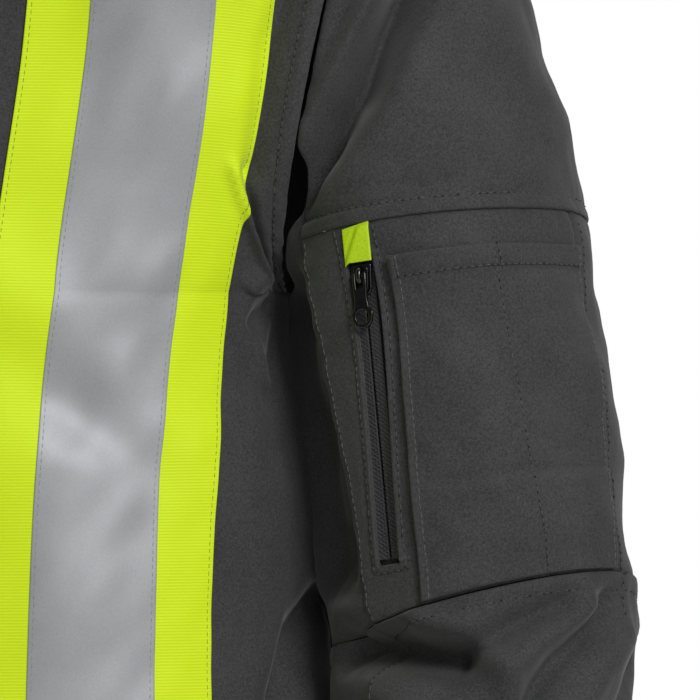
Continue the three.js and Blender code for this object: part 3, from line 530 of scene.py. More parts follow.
def front_seam(z):
    return seam_angle(-43, -38, z)


def outer_seam(z):
    return seam_angle(72, 71, z)


def back_seam(z):
    return seam_angle(192, 192, z)


def wrapped(seam):
    return lambda z: seam(z) + 2 * math.pi


def placed(point, normal, inside, height, side):
    normal = unit(normal)
    normal = np.where(dot(normal, point - inside) < 0, -normal, normal)
    flip = np.array([side, 1, 1])
    return point * flip, normal * flip, height


def on_sleeve(angle, z, side=1):
    """Point, outward normal and relief of a sleeve."""
    angle, z = np.broadcast_arrays(np.asarray(angle, float), np.asarray(z, float))
    point = sleeve(angle, z)
    normal = np.cross(
        sleeve(angle + 0.004, z) - sleeve(angle - 0.004, z), sleeve(angle, z + 0.4) - sleeve(angle, z - 0.4)
    )
    inside = sleeve_middle(np.minimum(z, ARMHOLE_Z - 40))
    return placed(point, normal, inside, sleeve_relief(angle, z, point, side), side)


def on_torso(face, q, r, side=1):
    """Point, outward normal and relief of the torso's front (face -1) or back (face 1)."""
    q, r = np.broadcast_arrays(np.asarray(q, float), np.asarray(r, float))
    point = torso(face, q, r)
    high = np.minimum(r + 0.002, 1)
    low = np.maximum(r - 0.002, 0)
    normal = np.cross(
        torso(face, q + 0.002, r) - torso(face, q - 0.002, r), torso(face, q, high) - torso(face, q, low)
    )
    inside = vec(0, BODY_Y, np.minimum(point[..., 2], -200))
    return placed(point, normal, inside, torso_relief(face, q, r, point, side), side)


def collar(turn, height):
    """A point of the collar: turn 0 is the middle front and 180 degrees the middle back."""
    away = np.abs(turn)
    front = away < math.pi / 2
    base = np.where(
        front[..., None], neckline(-1, np.minimum(away, math.pi / 2)),
        neckline(1, math.pi - np.maximum(away, math.pi / 2))
    )
    lean = 1 - COLLAR_TAPER * clamp(height / COLLAR_HEIGHT)
    z = base[..., 2] + height
    y = BODY_Y + (base[..., 1] - BODY_Y) * lean
    y = np.where(front, mix(y, BODY_Y - front_depth(z), np.cos(away) ** 8), y)
    return vec(base[..., 0] * lean * np.where(turn < 0, -1, 1), y, z)


def on_collar(turn, height):
    turn, height = np.broadcast_arrays(np.asarray(turn, float), np.asarray(height, float))
    point = collar(turn, height)
    normal = np.cross(
        collar(turn + 0.01, height) - collar(turn - 0.01, height),
        collar(turn, height + 0.5) - collar(turn, height - 0.5)
    )
    relief = 0.5 * ripple(point, 51, 38) * smooth((height - 3) / 14) + 0.12 * ripple(point, 52, 12)
    relief += 0.5 * smooth((7.5 - (COLLAR_HEIGHT - height)) / 2) - 0.6 * bump(COLLAR_HEIGHT - height - 6, 1.3)
    relief += (
        tucked_seam(height, 0.8) - 2.2 * smooth((1.5 - height) / 2.5)
        + pucker(turn * 80, height, 0.3, 8, 5, 2)
    )
    return placed(point, normal, vec(0, BODY_Y, point[..., 2]), relief, 1)


# ---- Meshes ----
def mesh_object(name, points, faces, materials, uv=None, indices=None, sharp=None):
    """An object from points in millimetres and faces of three or four corners."""
    mesh = bpy.data.meshes.new(name)
    points = np.asarray(points, float).reshape(-1, 3) / 1000
    if isinstance(faces, np.ndarray):
        corners = faces.shape[1]
        mesh.vertices.add(len(points))
        mesh.vertices.foreach_set("co", points.ravel())
        mesh.loops.add(faces.size)
        mesh.loops.foreach_set("vertex_index", faces.ravel().astype(np.int32))
        mesh.polygons.add(len(faces))
        mesh.polygons.foreach_set("loop_start", np.arange(0, faces.size, corners, dtype=np.int32))
        if indices is not None:
            mesh.polygons.foreach_set("material_index", indices.astype(np.int32))
        mesh.update(calc_edges=True)
        if uv is not None:
            layer = mesh.uv_layers.new(name="cloth")
            layer.data.foreach_set("uv", uv[faces.ravel()].ravel())
    else:
        mesh.from_pydata(points.tolist(), [], faces)
        mesh.update()
    mesh.polygons.foreach_set("use_smooth", np.ones(len(mesh.polygons), bool))
    if sharp:
        mesh.set_sharp_from_angle(angle=math.radians(sharp))
    mesh.validate()
    made = bpy.data.objects.new(name, mesh)
    bpy.context.collection.objects.link(made)
    for finish in materials if isinstance(materials, list) else [materials]:
        mesh.materials.append(finish)
    return made


def grid_lines(length, spacing, knots=()):
    """Places from 0 to 1 along a length in mm, with closer lines at both ends and beside each knot."""
    places = list(np.linspace(0, 1, max(3, int(round(length / spacing)) + 1)))

    def clear(p):
        return min([p * length, (1 - p) * length] + [abs(p - k) * length for k in knots]) > 1.9 or p in (0, 1)

    kept = [p for p in places if clear(p)]
    for near in (0.2, 0.6, 1.2):
        kept += [near / length, 1 - near / length]
        kept += [k + s * near / length for k in knots for s in (-1, 1)]
    return np.array(sorted(set(kept) | set(knots)))


def cloth(name, surface, u, v, inner, outer, materials, hole=None, turned=False):
    """A closed sheet of cloth between two offsets from a surface, with rounded edges and an optional opening.

    surface gives points, normals and relief for arrays of u and v. hole is (u0, u1, v0, v1), all grid lines.
    The object keeps the flat size that its cloth was cut to.
    """
    grid = np.meshgrid(u, v, indexing="ij")
    point, normal, height = surface(*grid)
    across = np.zeros(grid[0].shape)
    along = np.zeros(grid[0].shape)
    across[1:] = np.cumsum(np.linalg.norm(np.diff(point, axis=0), axis=-1), axis=0)
    along[:, 1:] = np.cumsum(np.linalg.norm(np.diff(point, axis=1), axis=-1), axis=1)
    edge = np.minimum(np.minimum(across, across[-1:] - across), np.minimum(along, along[:, -1:] - along))
    kept = np.ones((len(u) - 1, len(v) - 1), bool)
    if hole:
        i0, i1 = (int(np.argmin(abs(u - h))) for h in hole[:2])
        j0, j1 = (int(np.argmin(abs(v - h))) for h in hole[2:])
        kept[i0:i1, j0:j1] = False
        beside = np.maximum(across[i0:i0 + 1] - across, across - across[i1:i1 + 1])
        past = np.maximum(along[:, j0:j0 + 1] - along, along - along[:, j1:j1 + 1])
        edge = np.minimum(edge, np.maximum(np.maximum(beside, past), 0))
    thick = outer - inner
    radius = thick * 0.36
    roll = radius * (1 - np.sqrt(1 - (1 - clamp(edge / radius)) ** 2))
    outside = point + normal * (height + outer - roll)[..., None]
    inside = point + normal * (height + inner + 0.2 * roll)[..., None]
    count = grid[0].size
    index = np.arange(count).reshape(grid[0].shape)
    corners = np.stack([index[:-1, :-1], index[1:, :-1], index[1:, 1:], index[:-1, 1:]], -1)
    top = corners[kept]
    parts = [top, top[:, ::-1] + count]
    padded = np.pad(kept, 1)
    for a, b, beyond in (
        (0, 1, padded[1:-1, :-2]), (1, 2, padded[2:, 1:-1]), (2, 3, padded[1:-1, 2:]),
        (3, 0, padded[:-2, 1:-1])
    ):
        rim = corners[kept & ~beyond]
        parts.append(np.stack([rim[:, a], rim[:, a] + count, rim[:, b] + count, rim[:, b]], -1))
    faces = np.concatenate(parts)
    indices = np.zeros(len(faces), int)
    indices[len(top):2 * len(top)] = 1 if isinstance(materials, list) and len(materials) > 1 else 0
    points = np.concatenate([outside.reshape(-1, 3), inside.reshape(-1, 3)])
    first = corners.reshape(-1, 4)[0]
    flat = outside.reshape(-1, 3)
    facing = np.cross(flat[first[1]] - flat[first[0]], flat[first[3]] - flat[first[0]])
    if facing @ normal.reshape(-1, 3)[0] < 0:
        faces = faces[:, ::-1]
    uv = np.stack([across - across[-1:] / 2, along], -1).reshape(-1, 2) / 1000
    if turned:
        uv = uv[:, ::-1]
    used = np.unique(faces)
    renumber = np.zeros(len(points), int)
    renumber[used] = np.arange(len(used))
    made = mesh_object(
        name, points[used], renumber[faces], materials, np.concatenate([uv, uv])[used], indices
    )
    cells = (
        np.linalg.norm(np.cross(point[1:, 1:] - point[:-1, :-1], point[1:, :-1] - point[:-1, 1:]), axis=-1)
        / 2
    )
    made["flat"] = [across[-1].max() / 1000, along[:, -1].max() / 1000, cells[kept].sum() / 1e6]
    return made


def declare(piece, held, *rests_on):
    """Drops the record of the flat size that a piece was cut to."""
    del piece["flat"]


def fit(piece, node, body, held="stretched", rests_on=()):
    """Puts a finished sheet on its body in place of its CAD node."""
    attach(piece, body)
    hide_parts(node)
    if held:
        declare(piece, held, *rests_on)
    return piece


def copies(name, templates, origins, bases, materials):
    """One mesh of many small copies of each template, on three axes each. Each template has a finish."""
    points, faces, indices, count = [], [], [], 0
    for k, ((shape, corners), spots, axes) in enumerate(zip(templates, origins, bases)):
        points.append((spots[:, None] + np.einsum("vk,nkd->nvd", shape, axes)).reshape(-1, 3))
        numbers = corners[None] + (np.arange(len(spots)) * len(shape))[:, None, None]
        faces.append(numbers.reshape(-1, corners.shape[1]) + count)
        indices.append(np.full(len(faces[-1]), k))
        count += len(points[-1])
    return mesh_object(
        name, np.concatenate(points), np.concatenate(faces), materials, indices=np.concatenate(indices)
    )


def bar(path, radii, sides=8, squeeze=1.0):
    """A closed round bar along a path of local points. squeeze flattens its third direction."""
    path = np.asarray(path, float)
    tangent = unit(np.gradient(path, axis=0))
    guide = np.array([0, 0, 1.0]) if abs(tangent[:, 2]).max() < 0.9 else np.array([1.0, 0, 0])
    first = unit(np.cross(tangent, guide))
    second = np.cross(tangent, first)
    turn = np.linspace(0, 2 * math.pi, sides, endpoint=False)
    rings = path[:, None] + np.asarray(radii, float)[:, None, None] * (
        first[:, None] * np.cos(turn)[None, :, None] + squeeze * second[:, None] * np.sin(turn)[None, :, None]
    )
    count = len(path)
    faces = [[i * sides + k, i * sides + (k + 1) % sides, (i + 1) * sides + (k + 1) % sides,
        (i + 1) * sides + k]
             for i in range(count - 1) for k in range(sides)]
    for ring, flip in ((0, True), (count - 1, False)):
        for k in range(1, sides - 1, 2):
            quad = [ring * sides, ring * sides + k, ring * sides + k + 1, ring * sides + (k + 2) % sides]
            faces.append(quad[::-1] if flip else quad)
    return rings.reshape(-1, 3), np.array(faces)


def stitch_shape(length, radius):
    """A stitch that comes up out of the cloth and dips back in at both ends."""
    places = np.array([-0.5, -0.42, -0.2, 0.2, 0.42, 0.5]) * length
    rise = np.array([-1.3, -0.5, 0, 0, -0.5, -1.3]) * radius
    return bar(np.stack([places, 0 * places, rise], -1), np.array([0.3, 0.85, 1, 1, 0.85, 0.3]) * radius, 6)


def stitches(name, runs, pitch, length, radius, material, lift=0.1, crosswise=False, holes=False):
    """Stitches along runs of (points, normals, relief), a pitch apart. crosswise lays them across the run."""
    origins, bases = [], []
    for point, normal, height in runs:
        sewn = point + normal * (height[..., None] + lift)
        place = np.concatenate([[0], np.cumsum(np.linalg.norm(np.diff(sewn, axis=0), axis=-1))])
        at = np.arange(pitch / 2, place[-1], pitch)
        where = np.stack([np.interp(at, place, sewn[:, k]) for k in range(3)], -1)
        ahead = np.stack([np.interp(at + 0.5, place, sewn[:, k]) for k in range(3)], -1)
        behind = np.stack([np.interp(at - 0.5, place, sewn[:, k]) for k in range(3)], -1)
        up = unit(np.stack([np.interp(at, place, normal[:, k]) for k in range(3)], -1))
        forward = unit(ahead - behind)
        up = unit(up - forward * dot(up, forward))
        beside = np.cross(up, forward)
        origins.append(where)
        bases.append(np.stack([beside, -forward, up] if crosswise else [forward, beside, up], 1))
    origins, bases = np.concatenate(origins), np.concatenate(bases)
    if not holes:
        return copies(name, [stitch_shape(length, radius)], [origins], [bases], [material])
    # the dark copies between the stitches are painted shade: near-black pits where the needle holes lie in
    # shadow
    between = origins + bases[:, 0] * pitch / 2 + bases[:, 2] * 0.06
    hole = stitch_shape(pitch - length + 0.7, 0.26)
    shapes = [stitch_shape(length, radius), hole]
    return copies(name, shapes, [origins, between], [bases, bases], [material, MATERIALS["hole"]])


def plate(outlines, y0, y1, bevel):
    """Points and faces of a bevelled plate in a zip's frame. Outlines after the first are its holes."""
    curve = bpy.data.curves.new("outline", "CURVE")
    curve.dimensions = "2D"
    curve.fill_mode = "BOTH"
    curve.extrude = (y1 - y0) / 2 - bevel
    curve.bevel_depth = bevel
    curve.bevel_resolution = 2
    curve.offset = -bevel
    for points in outlines:
        spline = curve.splines.new("POLY")
        spline.points.add(len(points) - 1)
        for spot, (x, z) in zip(spline.points, points):
            spot.co = (x, z, 0, 1)
        spline.use_cyclic_u = True
    holder = bpy.data.objects.new("outline", curve)
    mesh = bpy.data.meshes.new_from_object(holder)
    flat = np.array([tuple(v.co) for v in mesh.vertices])
    points = np.stack([flat[:, 0], (y0 + y1) / 2 - flat[:, 2], flat[:, 1]], -1)
    faces = [tuple(face.vertices) for face in mesh.polygons]
    bpy.data.objects.remove(holder)
    bpy.data.curves.remove(curve)
    bpy.data.meshes.remove(mesh)
    return points, faces


def together(*parts):
    """Several (points, faces) as one."""
    points, faces, count = [], [], 0
    for part_points, part_faces in parts:
        points.append(part_points)
        faces += [tuple(int(i) + count for i in face) for face in part_faces]
        count += len(part_points)
    return np.concatenate(points), faces


def round_corner(points, radius):
    """An outline with its corners rounded, each by four points."""
    points = np.array(points, float)
    made = []
    for i, corner in enumerate(points):
        before, after = points[i - 1] - corner, points[(i + 1) % len(points)] - corner
        reach = min(radius, np.linalg.norm(before) / 2.1, np.linalg.norm(after) / 2.1)
        a, b = corner + unit(before) * reach, corner + unit(after) * reach
        for t in np.linspace(0, 1, 4):
            made.append(tuple((1 - t) ** 2 * a + 2 * t * (1 - t) * corner + t * t * b))
    return made


# ---- Materials ----
def linear(colour):
    """An sRGB hex colour as linear red, green, blue and 1."""
    parts = [int(colour[i:i + 2], 16) / 255 for i in (1, 3, 5)]
    return tuple(c / 12.92 if c <= 0.04045 else ((c + 0.055) / 1.055) ** 2.4 for c in parts) + (1.0,)


def node(tree, kind, inputs=None, **settings):
    """Adds a node. inputs gives a value or another node's output socket for each of its input sockets."""
    made = tree.nodes.new(kind)
    for name, value in settings.items():
        setattr(made, name, value)
    for name, value in (inputs or {}).items():
        if isinstance(value, bpy.types.NodeSocket):
            tree.links.new(value, made.inputs[name])
        else:
            made.inputs[name].default_value = value
    return made


def new_material(name, **surface):
    """A material with its shader, output and plain values. Returns the material, its tree and the shader."""
    made = bpy.data.materials.new(name)
    made.use_nodes = True
    tree = made.node_tree
    tree.nodes.clear()
    shader = node(tree, "ShaderNodeBsdfPrincipled", surface)
    node(tree, "ShaderNodeOutputMaterial", {"Surface": shader.outputs[0]})
    made.diffuse_color = surface.get("Base Color", (0.5, 0.5, 0.5, 1))
    return made, tree, shader


def speckle(tree, vector, size_mm, detail=2.0, rough=0.6):
    """Noise whose grains are about size_mm across."""
    return node(
        tree, "ShaderNodeTexNoise",
        {"Vector": vector, "Scale": 1000 / size_mm, "Detail": detail, "Roughness": rough}
    )


def shade(tree, shader, factor, dark, light, low=0.35, high=0.65):
    """Base colour from a dark to a light colour as the factor goes from low to high."""
    ramp = node(tree, "ShaderNodeMapRange", {"Value": factor, "From Min": low, "From Max": high})
    mixed = node(tree, "ShaderNodeMix", {"Factor": ramp.outputs[0]}, data_type="RGBA")
    mixed.inputs[6].default_value = dark
    mixed.inputs[7].default_value = light
    tree.links.new(mixed.outputs[2], shader.inputs["Base Color"])


def relief(tree, shader, height, distance_mm, strength=1.0, below=None):
    """Bump of a real depth. below is an earlier bump that this one lies on."""
    inputs = {"Height": height, "Distance": distance_mm / 1000, "Strength": strength}
    if below:
        inputs["Normal"] = below.outputs[0]
    made = node(tree, "ShaderNodeBump", inputs)
    tree.links.new(made.outputs[0], shader.inputs["Normal"])
    return made


def summed(tree, a, b, weight):
    return node(tree, "ShaderNodeMath", {0: b, 1: weight, 2: a}, operation="MULTIPLY_ADD").outputs[0]


def ribs(tree, vector, pitch_mm, direction):
    """Even ridges pitch_mm apart. A wave texture repeats 20 / 2 pi times for each unit of its scale."""
    scale = 1000 / pitch_mm * 2 * math.pi / 20
    return node(
        tree, "ShaderNodeTexWave", {"Vector": vector, "Scale": scale, "Distortion": 0.0},
        bands_direction=direction
    )


def softshell(settings):
    """Knitted polyester face of a bonded softshell: matt charcoal, a melange of lighter and darker yarns."""
    made, tree, shader = new_material("charcoal polyester softshell", **{"Roughness": 0.82, "IOR": 1.5})
    shader.inputs["Sheen Weight"].default_value = 0.16
    shader.inputs["Sheen Roughness"].default_value = 0.45
    shader.inputs["Specular IOR Level"].default_value = 0.32
    place = node(tree, "ShaderNodeTexCoord").outputs["Object"]
    # yarns are about 0.3 mm; drawn coarser so that the melange shows
    yarn = speckle(tree, place, 0.9, 3.0, 0.8)
    cloud = speckle(tree, place, 26)
    both = summed(tree, yarn.outputs[0], cloud.outputs[0], 0.22)
    base = settings.softshell_colour
    dark = tuple(c * 0.56 for c in base[:3]) + (1,)
    light = tuple(c * 1.55 for c in base[:3]) + (1,)
    shade(tree, shader, both, dark, light, 0.44, 0.78)
    knit = relief(tree, shader, yarn.outputs[0], 0.10, 0.8)
    relief(tree, shader, speckle(tree, place, 5).outputs[0], 0.22, 0.6, knit)
    return made


def fleece():
    """Brushed polyester fleece: matt, tufted and slightly lighter on its tips."""
    made, tree, shader = new_material("brushed grey fleece", **{"Roughness": 0.95, "Sheen Weight": 0.4})
    shader.inputs["Sheen Roughness"].default_value = 0.6
    place = node(tree, "ShaderNodeTexCoord").outputs["Object"]
    tuft = speckle(tree, place, 1.8, 4.0, 0.7)
    shade(tree, shader, tuft.outputs[0], linear("#1c1c1e"), linear("#39393c"))
    relief(tree, shader, tuft.outputs[0], 0.7, 0.9)
    return made


def hi_vis(settings):
    """Fluorescent ribbed polyester: bright yellow-green with fine ribs across the band, and a painted glow
    from a weak emission.
    """
    made, tree, shader = new_material("fluorescent yellow ribbed polyester", **{"Roughness": 0.62})
    shader.inputs["Sheen Weight"].default_value = 0.15
    shader.inputs["Specular IOR Level"].default_value = 0.3
    place = node(tree, "ShaderNodeTexCoord").outputs["UV"]
    rib = ribs(tree, place, settings.rib_pitch * 1000, "Y")
    grain = speckle(tree, place, 0.8)
    both = summed(tree, rib.outputs[1], grain.outputs[0], 0.5)
    shade(tree, shader, both, linear("#c3dc08"), linear("#d6f018"), 0.1, 1.3)
    # painted glow: a weak emission brightens the band whatever light falls on it
    shader.inputs["Emission Color"].default_value = linear("#d2ee1c")
    shader.inputs["Emission Strength"].default_value = 0.10
    relief(tree, shader, both, 0.10, 0.7)
    return made


def garage_fabric():
    """The same fluorescent cloth, cut plain and folded over, with a smoother weave."""
    made, tree, shader = new_material("fluorescent yellow plain weave", **{"Roughness": 0.6})
    place = node(tree, "ShaderNodeTexCoord").outputs["Object"]
    weave = speckle(tree, place, 0.5)
    shade(tree, shader, weave.outputs[0], linear("#a9cc06"), linear("#c6e412"))
    # painted glow: a weak emission brightens the garage whatever light falls on it
    shader.inputs["Emission Color"].default_value = linear("#b0dc00")
    shader.inputs["Emission Strength"].default_value = 0.06
    relief(tree, shader, weave.outputs[0], 0.06, 0.6)
    return made


def reflective():
    """Retroreflective tape: a grey layer of glass beads on cloth, silky, with faint cloudy wear."""
    made, tree, shader = new_material("silver glass bead tape", **{"Metallic": 0.25, "Roughness": 0.5})
    shader.inputs["Specular IOR Level"].default_value = 0.4
    place = node(tree, "ShaderNodeTexCoord").outputs["Object"]
    bead = speckle(tree, place, 0.5, 2.0)  # the beads are 0.05 mm; drawn coarser so that their grain shows
    cloud = speckle(tree, place, 34, 3.0)
    both = summed(tree, bead.outputs[0], cloud.outputs[0], 0.5)
    shade(tree, shader, both, linear("#9a9c9f"), linear("#acaeb1"), 0.5, 1.0)
    relief(tree, shader, both, 0.05, 0.5)
    return made


def woven_tape():
    """Black woven polyester tape: flat, with fine diagonal threads."""
    made, tree, shader = new_material("black woven polyester tape", **{"Roughness": 0.7, "Sheen Weight": 0.1})
    place = node(tree, "ShaderNodeTexCoord").outputs["Object"]
    thread = ribs(tree, place, 0.9, "DIAGONAL")
    shade(tree, shader, thread.outputs[1], linear("#262628"), linear("#3f3f42"), 0.1, 0.9)
    relief(tree, shader, thread.outputs[1], 0.12, 0.8)
    return made


def nylon_coil():
    """Drawn nylon filament of a zip coil: black, smooth and slightly glossy."""
    made, tree, shader = new_material("black nylon filament", **{"Roughness": 0.4, "IOR": 1.53})
    place = node(tree, "ShaderNodeTexCoord").outputs["Object"]
    grain = speckle(tree, place, 0.7)
    shade(tree, shader, grain.outputs[0], linear("#121213"), linear("#29292b"))
    relief(tree, shader, grain.outputs[0], 0.03, 0.4)
    return made


def enamel():
    """Black enamel over cast zinc: glossy, with a slight unevenness from the casting."""
    made, tree, shader = new_material("gloss black enamel on zinc", **{"Roughness": 0.2, "Coat Weight": 0.3})
    shader.inputs["Coat Roughness"].default_value = 0.12
    place = node(tree, "ShaderNodeTexCoord").outputs["Object"]
    cast = speckle(tree, place, 2.4)
    shade(tree, shader, cast.outputs[0], linear("#060607"), linear("#0e0e0f"))
    relief(tree, shader, cast.outputs[0], 0.08, 0.5)
    return made


def thread(name, dark, light):
    """Twisted polyester sewing thread with a soft lustre."""
    made, tree, shader = new_material(name, **{"Roughness": 0.55})
    place = node(tree, "ShaderNodeTexCoord").outputs["Object"]
    twist = speckle(tree, place, 0.5)
    shade(tree, shader, twist.outputs[0], linear(dark), linear(light))
    relief(tree, shader, twist.outputs[0], 0.05, 0.6)
    return made


def floor_paint():
    """Matt off-white studio floor, faintly uneven."""
    made, tree, shader = new_material("matt off-white floor paint", **{"Roughness": 0.8})
    place = node(tree, "ShaderNodeTexCoord").outputs["Object"]
    uneven = speckle(tree, place, 300)
    shade(tree, shader, uneven.outputs[0], linear("#e6e6e4"), linear("#eeeeec"))
    relief(tree, shader, uneven.outputs[0], 0.4, 0.3)
    return made


MATERIALS = {}


def make_materials(settings):
    MATERIALS.update(
        softshell=softshell(settings),
        fleece=fleece(),
        hi_vis=hi_vis(settings),
        garage=garage_fabric(),
        reflective=reflective(),
        tape=woven_tape(),
        coil=nylon_coil(),
        enamel=enamel(),
        floor=floor_paint(),
        grey=thread("charcoal polyester thread", "#343436", "#4e4e51"),
        # painted shade: near-black marks for the needle holes between topstitches
        hole=thread("painted shade of needle holes", "#060606", "#0e0e0f"),
        light=thread("mid grey polyester thread", "#3c3c3f", "#5e5e62"),
        green=thread("olive green polyester thread", "#7b9610", "#9bb81c"),
        silver=thread("silver grey polyester thread", "#7c7e80", "#a0a2a4"),
    )


# ---- Zips ----
ZIP_SLOT = 1.6
WINDOW_HALF = 5.4
TAPE_DEPTH = FABRIC + 1.43 + (WINDOW_HALF + 3) ** 2 / SLEEVE_HALF_DEPTH
COIL_TOP = TAPE_DEPTH - 2.5
PLATE_Y = COIL_TOP - 1.8
BACK_Y = TAPE_DEPTH + 1.1
PIN_Y = PLATE_Y - 1.9
BAG_DEPTH = BACK_Y + 2.6
FRONT_SCALE = 1.25
ZIP_EDGE = WINDOW_HALF * FRONT_SCALE + 0.3
POCKET_ZIP_LENGTH = 118
HAND_ZIP_LENGTH = 126
HAND_ZIP_TOP_Z = -432
HAND_ZIP_X = 58
HAND_ZIP_LEAN = 6
ZIP_ANGLE_TOP = math.radians(-18.2)
ZIP_ANGLE_FOOT = math.radians(-25)
ZIP_TOP_Z = CAP_SEAM_Z - 15.5
ZIP_FOOT_Z = ZIP_TOP_Z - POCKET_ZIP_LENGTH
FRONT_ZIP_TOP = np.array(
    [0, BODY_Y - front_depth(FRONT_NECK_Z + COLLAR_HEIGHT - 5), FRONT_NECK_Z + COLLAR_HEIGHT - 5]
)
FRONT_ZIP_FOOT = np.array([0, BODY_Y - front_depth(HEM_Z + 4), HEM_Z + 4])
FRONT_ZIP_LENGTH = np.linalg.norm(FRONT_ZIP_TOP - FRONT_ZIP_FOOT) / FRONT_SCALE


def hand_point(x, z):
    r = row_of_height(z)
    return torso(-1, across_at_x(-1, r, x), r)


def zip_frame(top, foot, across, scale=1.0):
    """The zip's own axes: x across, y into the coat and z up along the zip, from its top end."""
    up = unit(top - foot)
    inward = unit(np.cross(up, across))
    return top, np.stack([np.cross(inward, up), inward, up]) * scale


def in_zip(place, points):
    origin, axes = place
    return origin + np.asarray(points, float) @ axes


def zip_places():
    middle = HAND_ZIP_TOP_Z - HAND_ZIP_LENGTH / 2
    top = hand_point(HAND_ZIP_X - HAND_ZIP_LEAN, HAND_ZIP_TOP_Z)
    foot = hand_point(HAND_ZIP_X + HAND_ZIP_LEAN, HAND_ZIP_TOP_Z - HAND_ZIP_LENGTH)
    across = hand_point(HAND_ZIP_X + 5, middle) - hand_point(HAND_ZIP_X - 5, middle)
    flip = np.array([-1, 1, 1])
    seen = CAP_SEAM_Z - 60
    return {
        "hand_left": zip_frame(top, foot, across),
        "hand_right": zip_frame(top * flip, foot * flip, -across * flip),
        "sleeve": zip_frame(
            sleeve(ZIP_ANGLE_TOP, ZIP_TOP_Z), sleeve(ZIP_ANGLE_FOOT, ZIP_FOOT_Z),
            sleeve(ZIP_ANGLE_TOP + 0.1, seen) - sleeve(ZIP_ANGLE_TOP - 0.1, seen),
        ),
        "front": zip_frame(FRONT_ZIP_TOP, FRONT_ZIP_FOOT, np.array([1.0, 0, 0]), FRONT_SCALE),
    }


ZIPS = zip_places()


def slider_shape():
    edge = round_corner([(-4.8, 0), (-4.0, -11), (-2.2, -13), (2.2, -13), (4.0, -11), (4.8, 0)], 1.6)
    rim = round_corner(
        [(-3.3, -1.6), (-2.7, -10.4), (-1.8, -11.6), (1.8, -11.6), (2.7, -10.4), (3.3, -1.6)], 1.2
    )
    turn = np.linspace(0, math.pi, 13)
    arch = np.stack([0 * turn, PLATE_Y + 0.3 - 3.2 * np.sin(turn) ** 0.6, -5 + 3.4 * np.cos(turn)], -1)
    return together(
        plate([edge], PLATE_Y, PLATE_Y + 1.4, 0.5),
        plate([rim], PLATE_Y - 0.35, PLATE_Y + 0.5, 0.3),
        plate([edge], BACK_Y, BACK_Y + 1.4, 0.45),
        bar([(0, PLATE_Y + 0.8, -1.4), (0, BACK_Y + 0.7, -1.4)], [0.4, 0.4], 8, 2.2),
        bar(arch, np.full(13, 0.42), 8, 2.2),
    )


def pull_shape():
    end = -21.5
    ring = [
        (4.5 * math.cos(t), end + 4.5 * math.sin(t)) for t in np.linspace(math.radians(-4), -math.pi / 2, 12)
    ]
    right = [
        (1.7, -10.1), (1.7, -4.2), (2.1, -3.8), (2.7, -3.8), (3.05, -4.3), (3.1, -10.2), (2.9, -12.0),
        (2.75, -13.6), (2.95, -15.8), (3.3, -18.0), (4.3, -19.3), (4.75, -20.0), (4.7, -21.0), *ring,
    ]
    outline = right + [(-x, z) for x, z in right[::-1][1:]]
    hole = [
        (2.8 * math.cos(t), end + 2.8 * math.sin(t)) for t in np.linspace(0, 2 * math.pi, 28, endpoint=False)
    ]
    return together(
        plate([outline, hole], PIN_Y - 0.7, PIN_Y + 0.7, 0.42),
        bar(
            [(-2.6, PIN_Y, -5.2), (-2.4, PIN_Y, -5.2), (2.4, PIN_Y, -5.2), (2.6, PIN_Y, -5.2)],
            [0.3, 0.42, 0.42, 0.3],
        ),
    )


def hardware(name, shape, place, body, node_name):
    points, faces = shape
    made = mesh_object(name, in_zip(place, points), faces, MATERIALS["enamel"], sharp=40)
    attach(made, body)
    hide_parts(node_name)


COIL_PITCH = 1.3


def coil(name, place, length, sides, node_name):
    """A reversed coil: the tape's woven edges cover it, and only the rows of stitches that hold it show."""
    axes = place[1]
    shapes, origins, bases = [], [], []
    for side in sides:
        low, high = side * ZIP_SLOT / 3, side * 5.0
        strip = plate(
            [[(low, 0), (high, 0), (high, -length), (low, -length)]], COIL_TOP + 0.15, COIL_TOP + 1.0, 0.2
        )
        shapes.append(strip)
    points, faces = together(*shapes)
    made = mesh_object(name, in_zip(place, points), faces, MATERIALS["tape"], sharp=40)
    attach(made, "coat")
    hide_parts(node_name)
    rows = []
    for side in sides:
        for column in (1.15, 2.35):
            at = np.arange(-1.2 - column * 0.4, -length + 1, -COIL_PITCH)
            origins.append(
                in_zip(place, np.stack([0 * at + side * column, 0 * at + COIL_TOP + 0.12, at], -1))
            )
            bases.append(np.tile(np.stack([axes[0], axes[2], -axes[1]]), (len(at), 1, 1)))
            rows.append(stitch_shape(0.85, 0.24))
    made = copies(name.replace("strips", "rows"), rows, origins, bases, [MATERIALS["coil"]] * len(rows))
    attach(made, "coat")


def finish_node(name, material):
    """Gives a CAD node that is kept its finished material."""
    node_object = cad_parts[name]
    node_object.data.materials.clear()
    node_object.data.materials.append(material)


def sewn(name, body, runs, settings, material="grey", **options):
    """A line of topstitching that rides with its cloth."""
    made = stitches(
        name, runs, options.get("pitch", settings.stitch_pitch * 1000),
        options.get("length", settings.stitch_length * 1000),
        options.get("radius", 0.34), MATERIALS[material], options.get("lift", 0.1),
        options.get("crosswise", False),
        material == "grey" and not options.get("crosswise"),
    )
    if body:
        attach(made, body)
    return made


def side_name(side):
    return "left" if side > 0 else "right"


# ---- Torso panels ----
UNDERARM_SHARE = 0.63  # share of a panel's grid that lies below the underarm
SHOULDER_R = 0.9997  # the front and back panels end a hair's breadth short of each other


def row_at(v):
    """The row of the torso at a share v of a panel's grid."""
    return np.interp(v, [0, UNDERARM_SHARE, 1], [0, UNDERARM_R, SHOULDER_R])


def place_of_row(r):
    return r / UNDERARM_R * UNDERARM_SHARE


def front_start(r):
    return across_at_x(-1, r, ZIP_EDGE)


def side_gap(face, r):
    edge = np.where((r <= UNDERARM_R) | (r > 0.995), SEAM_GAP / 2, ARMHOLE_GAP)
    return along_row(face, r, np.ones_like(r), -edge)


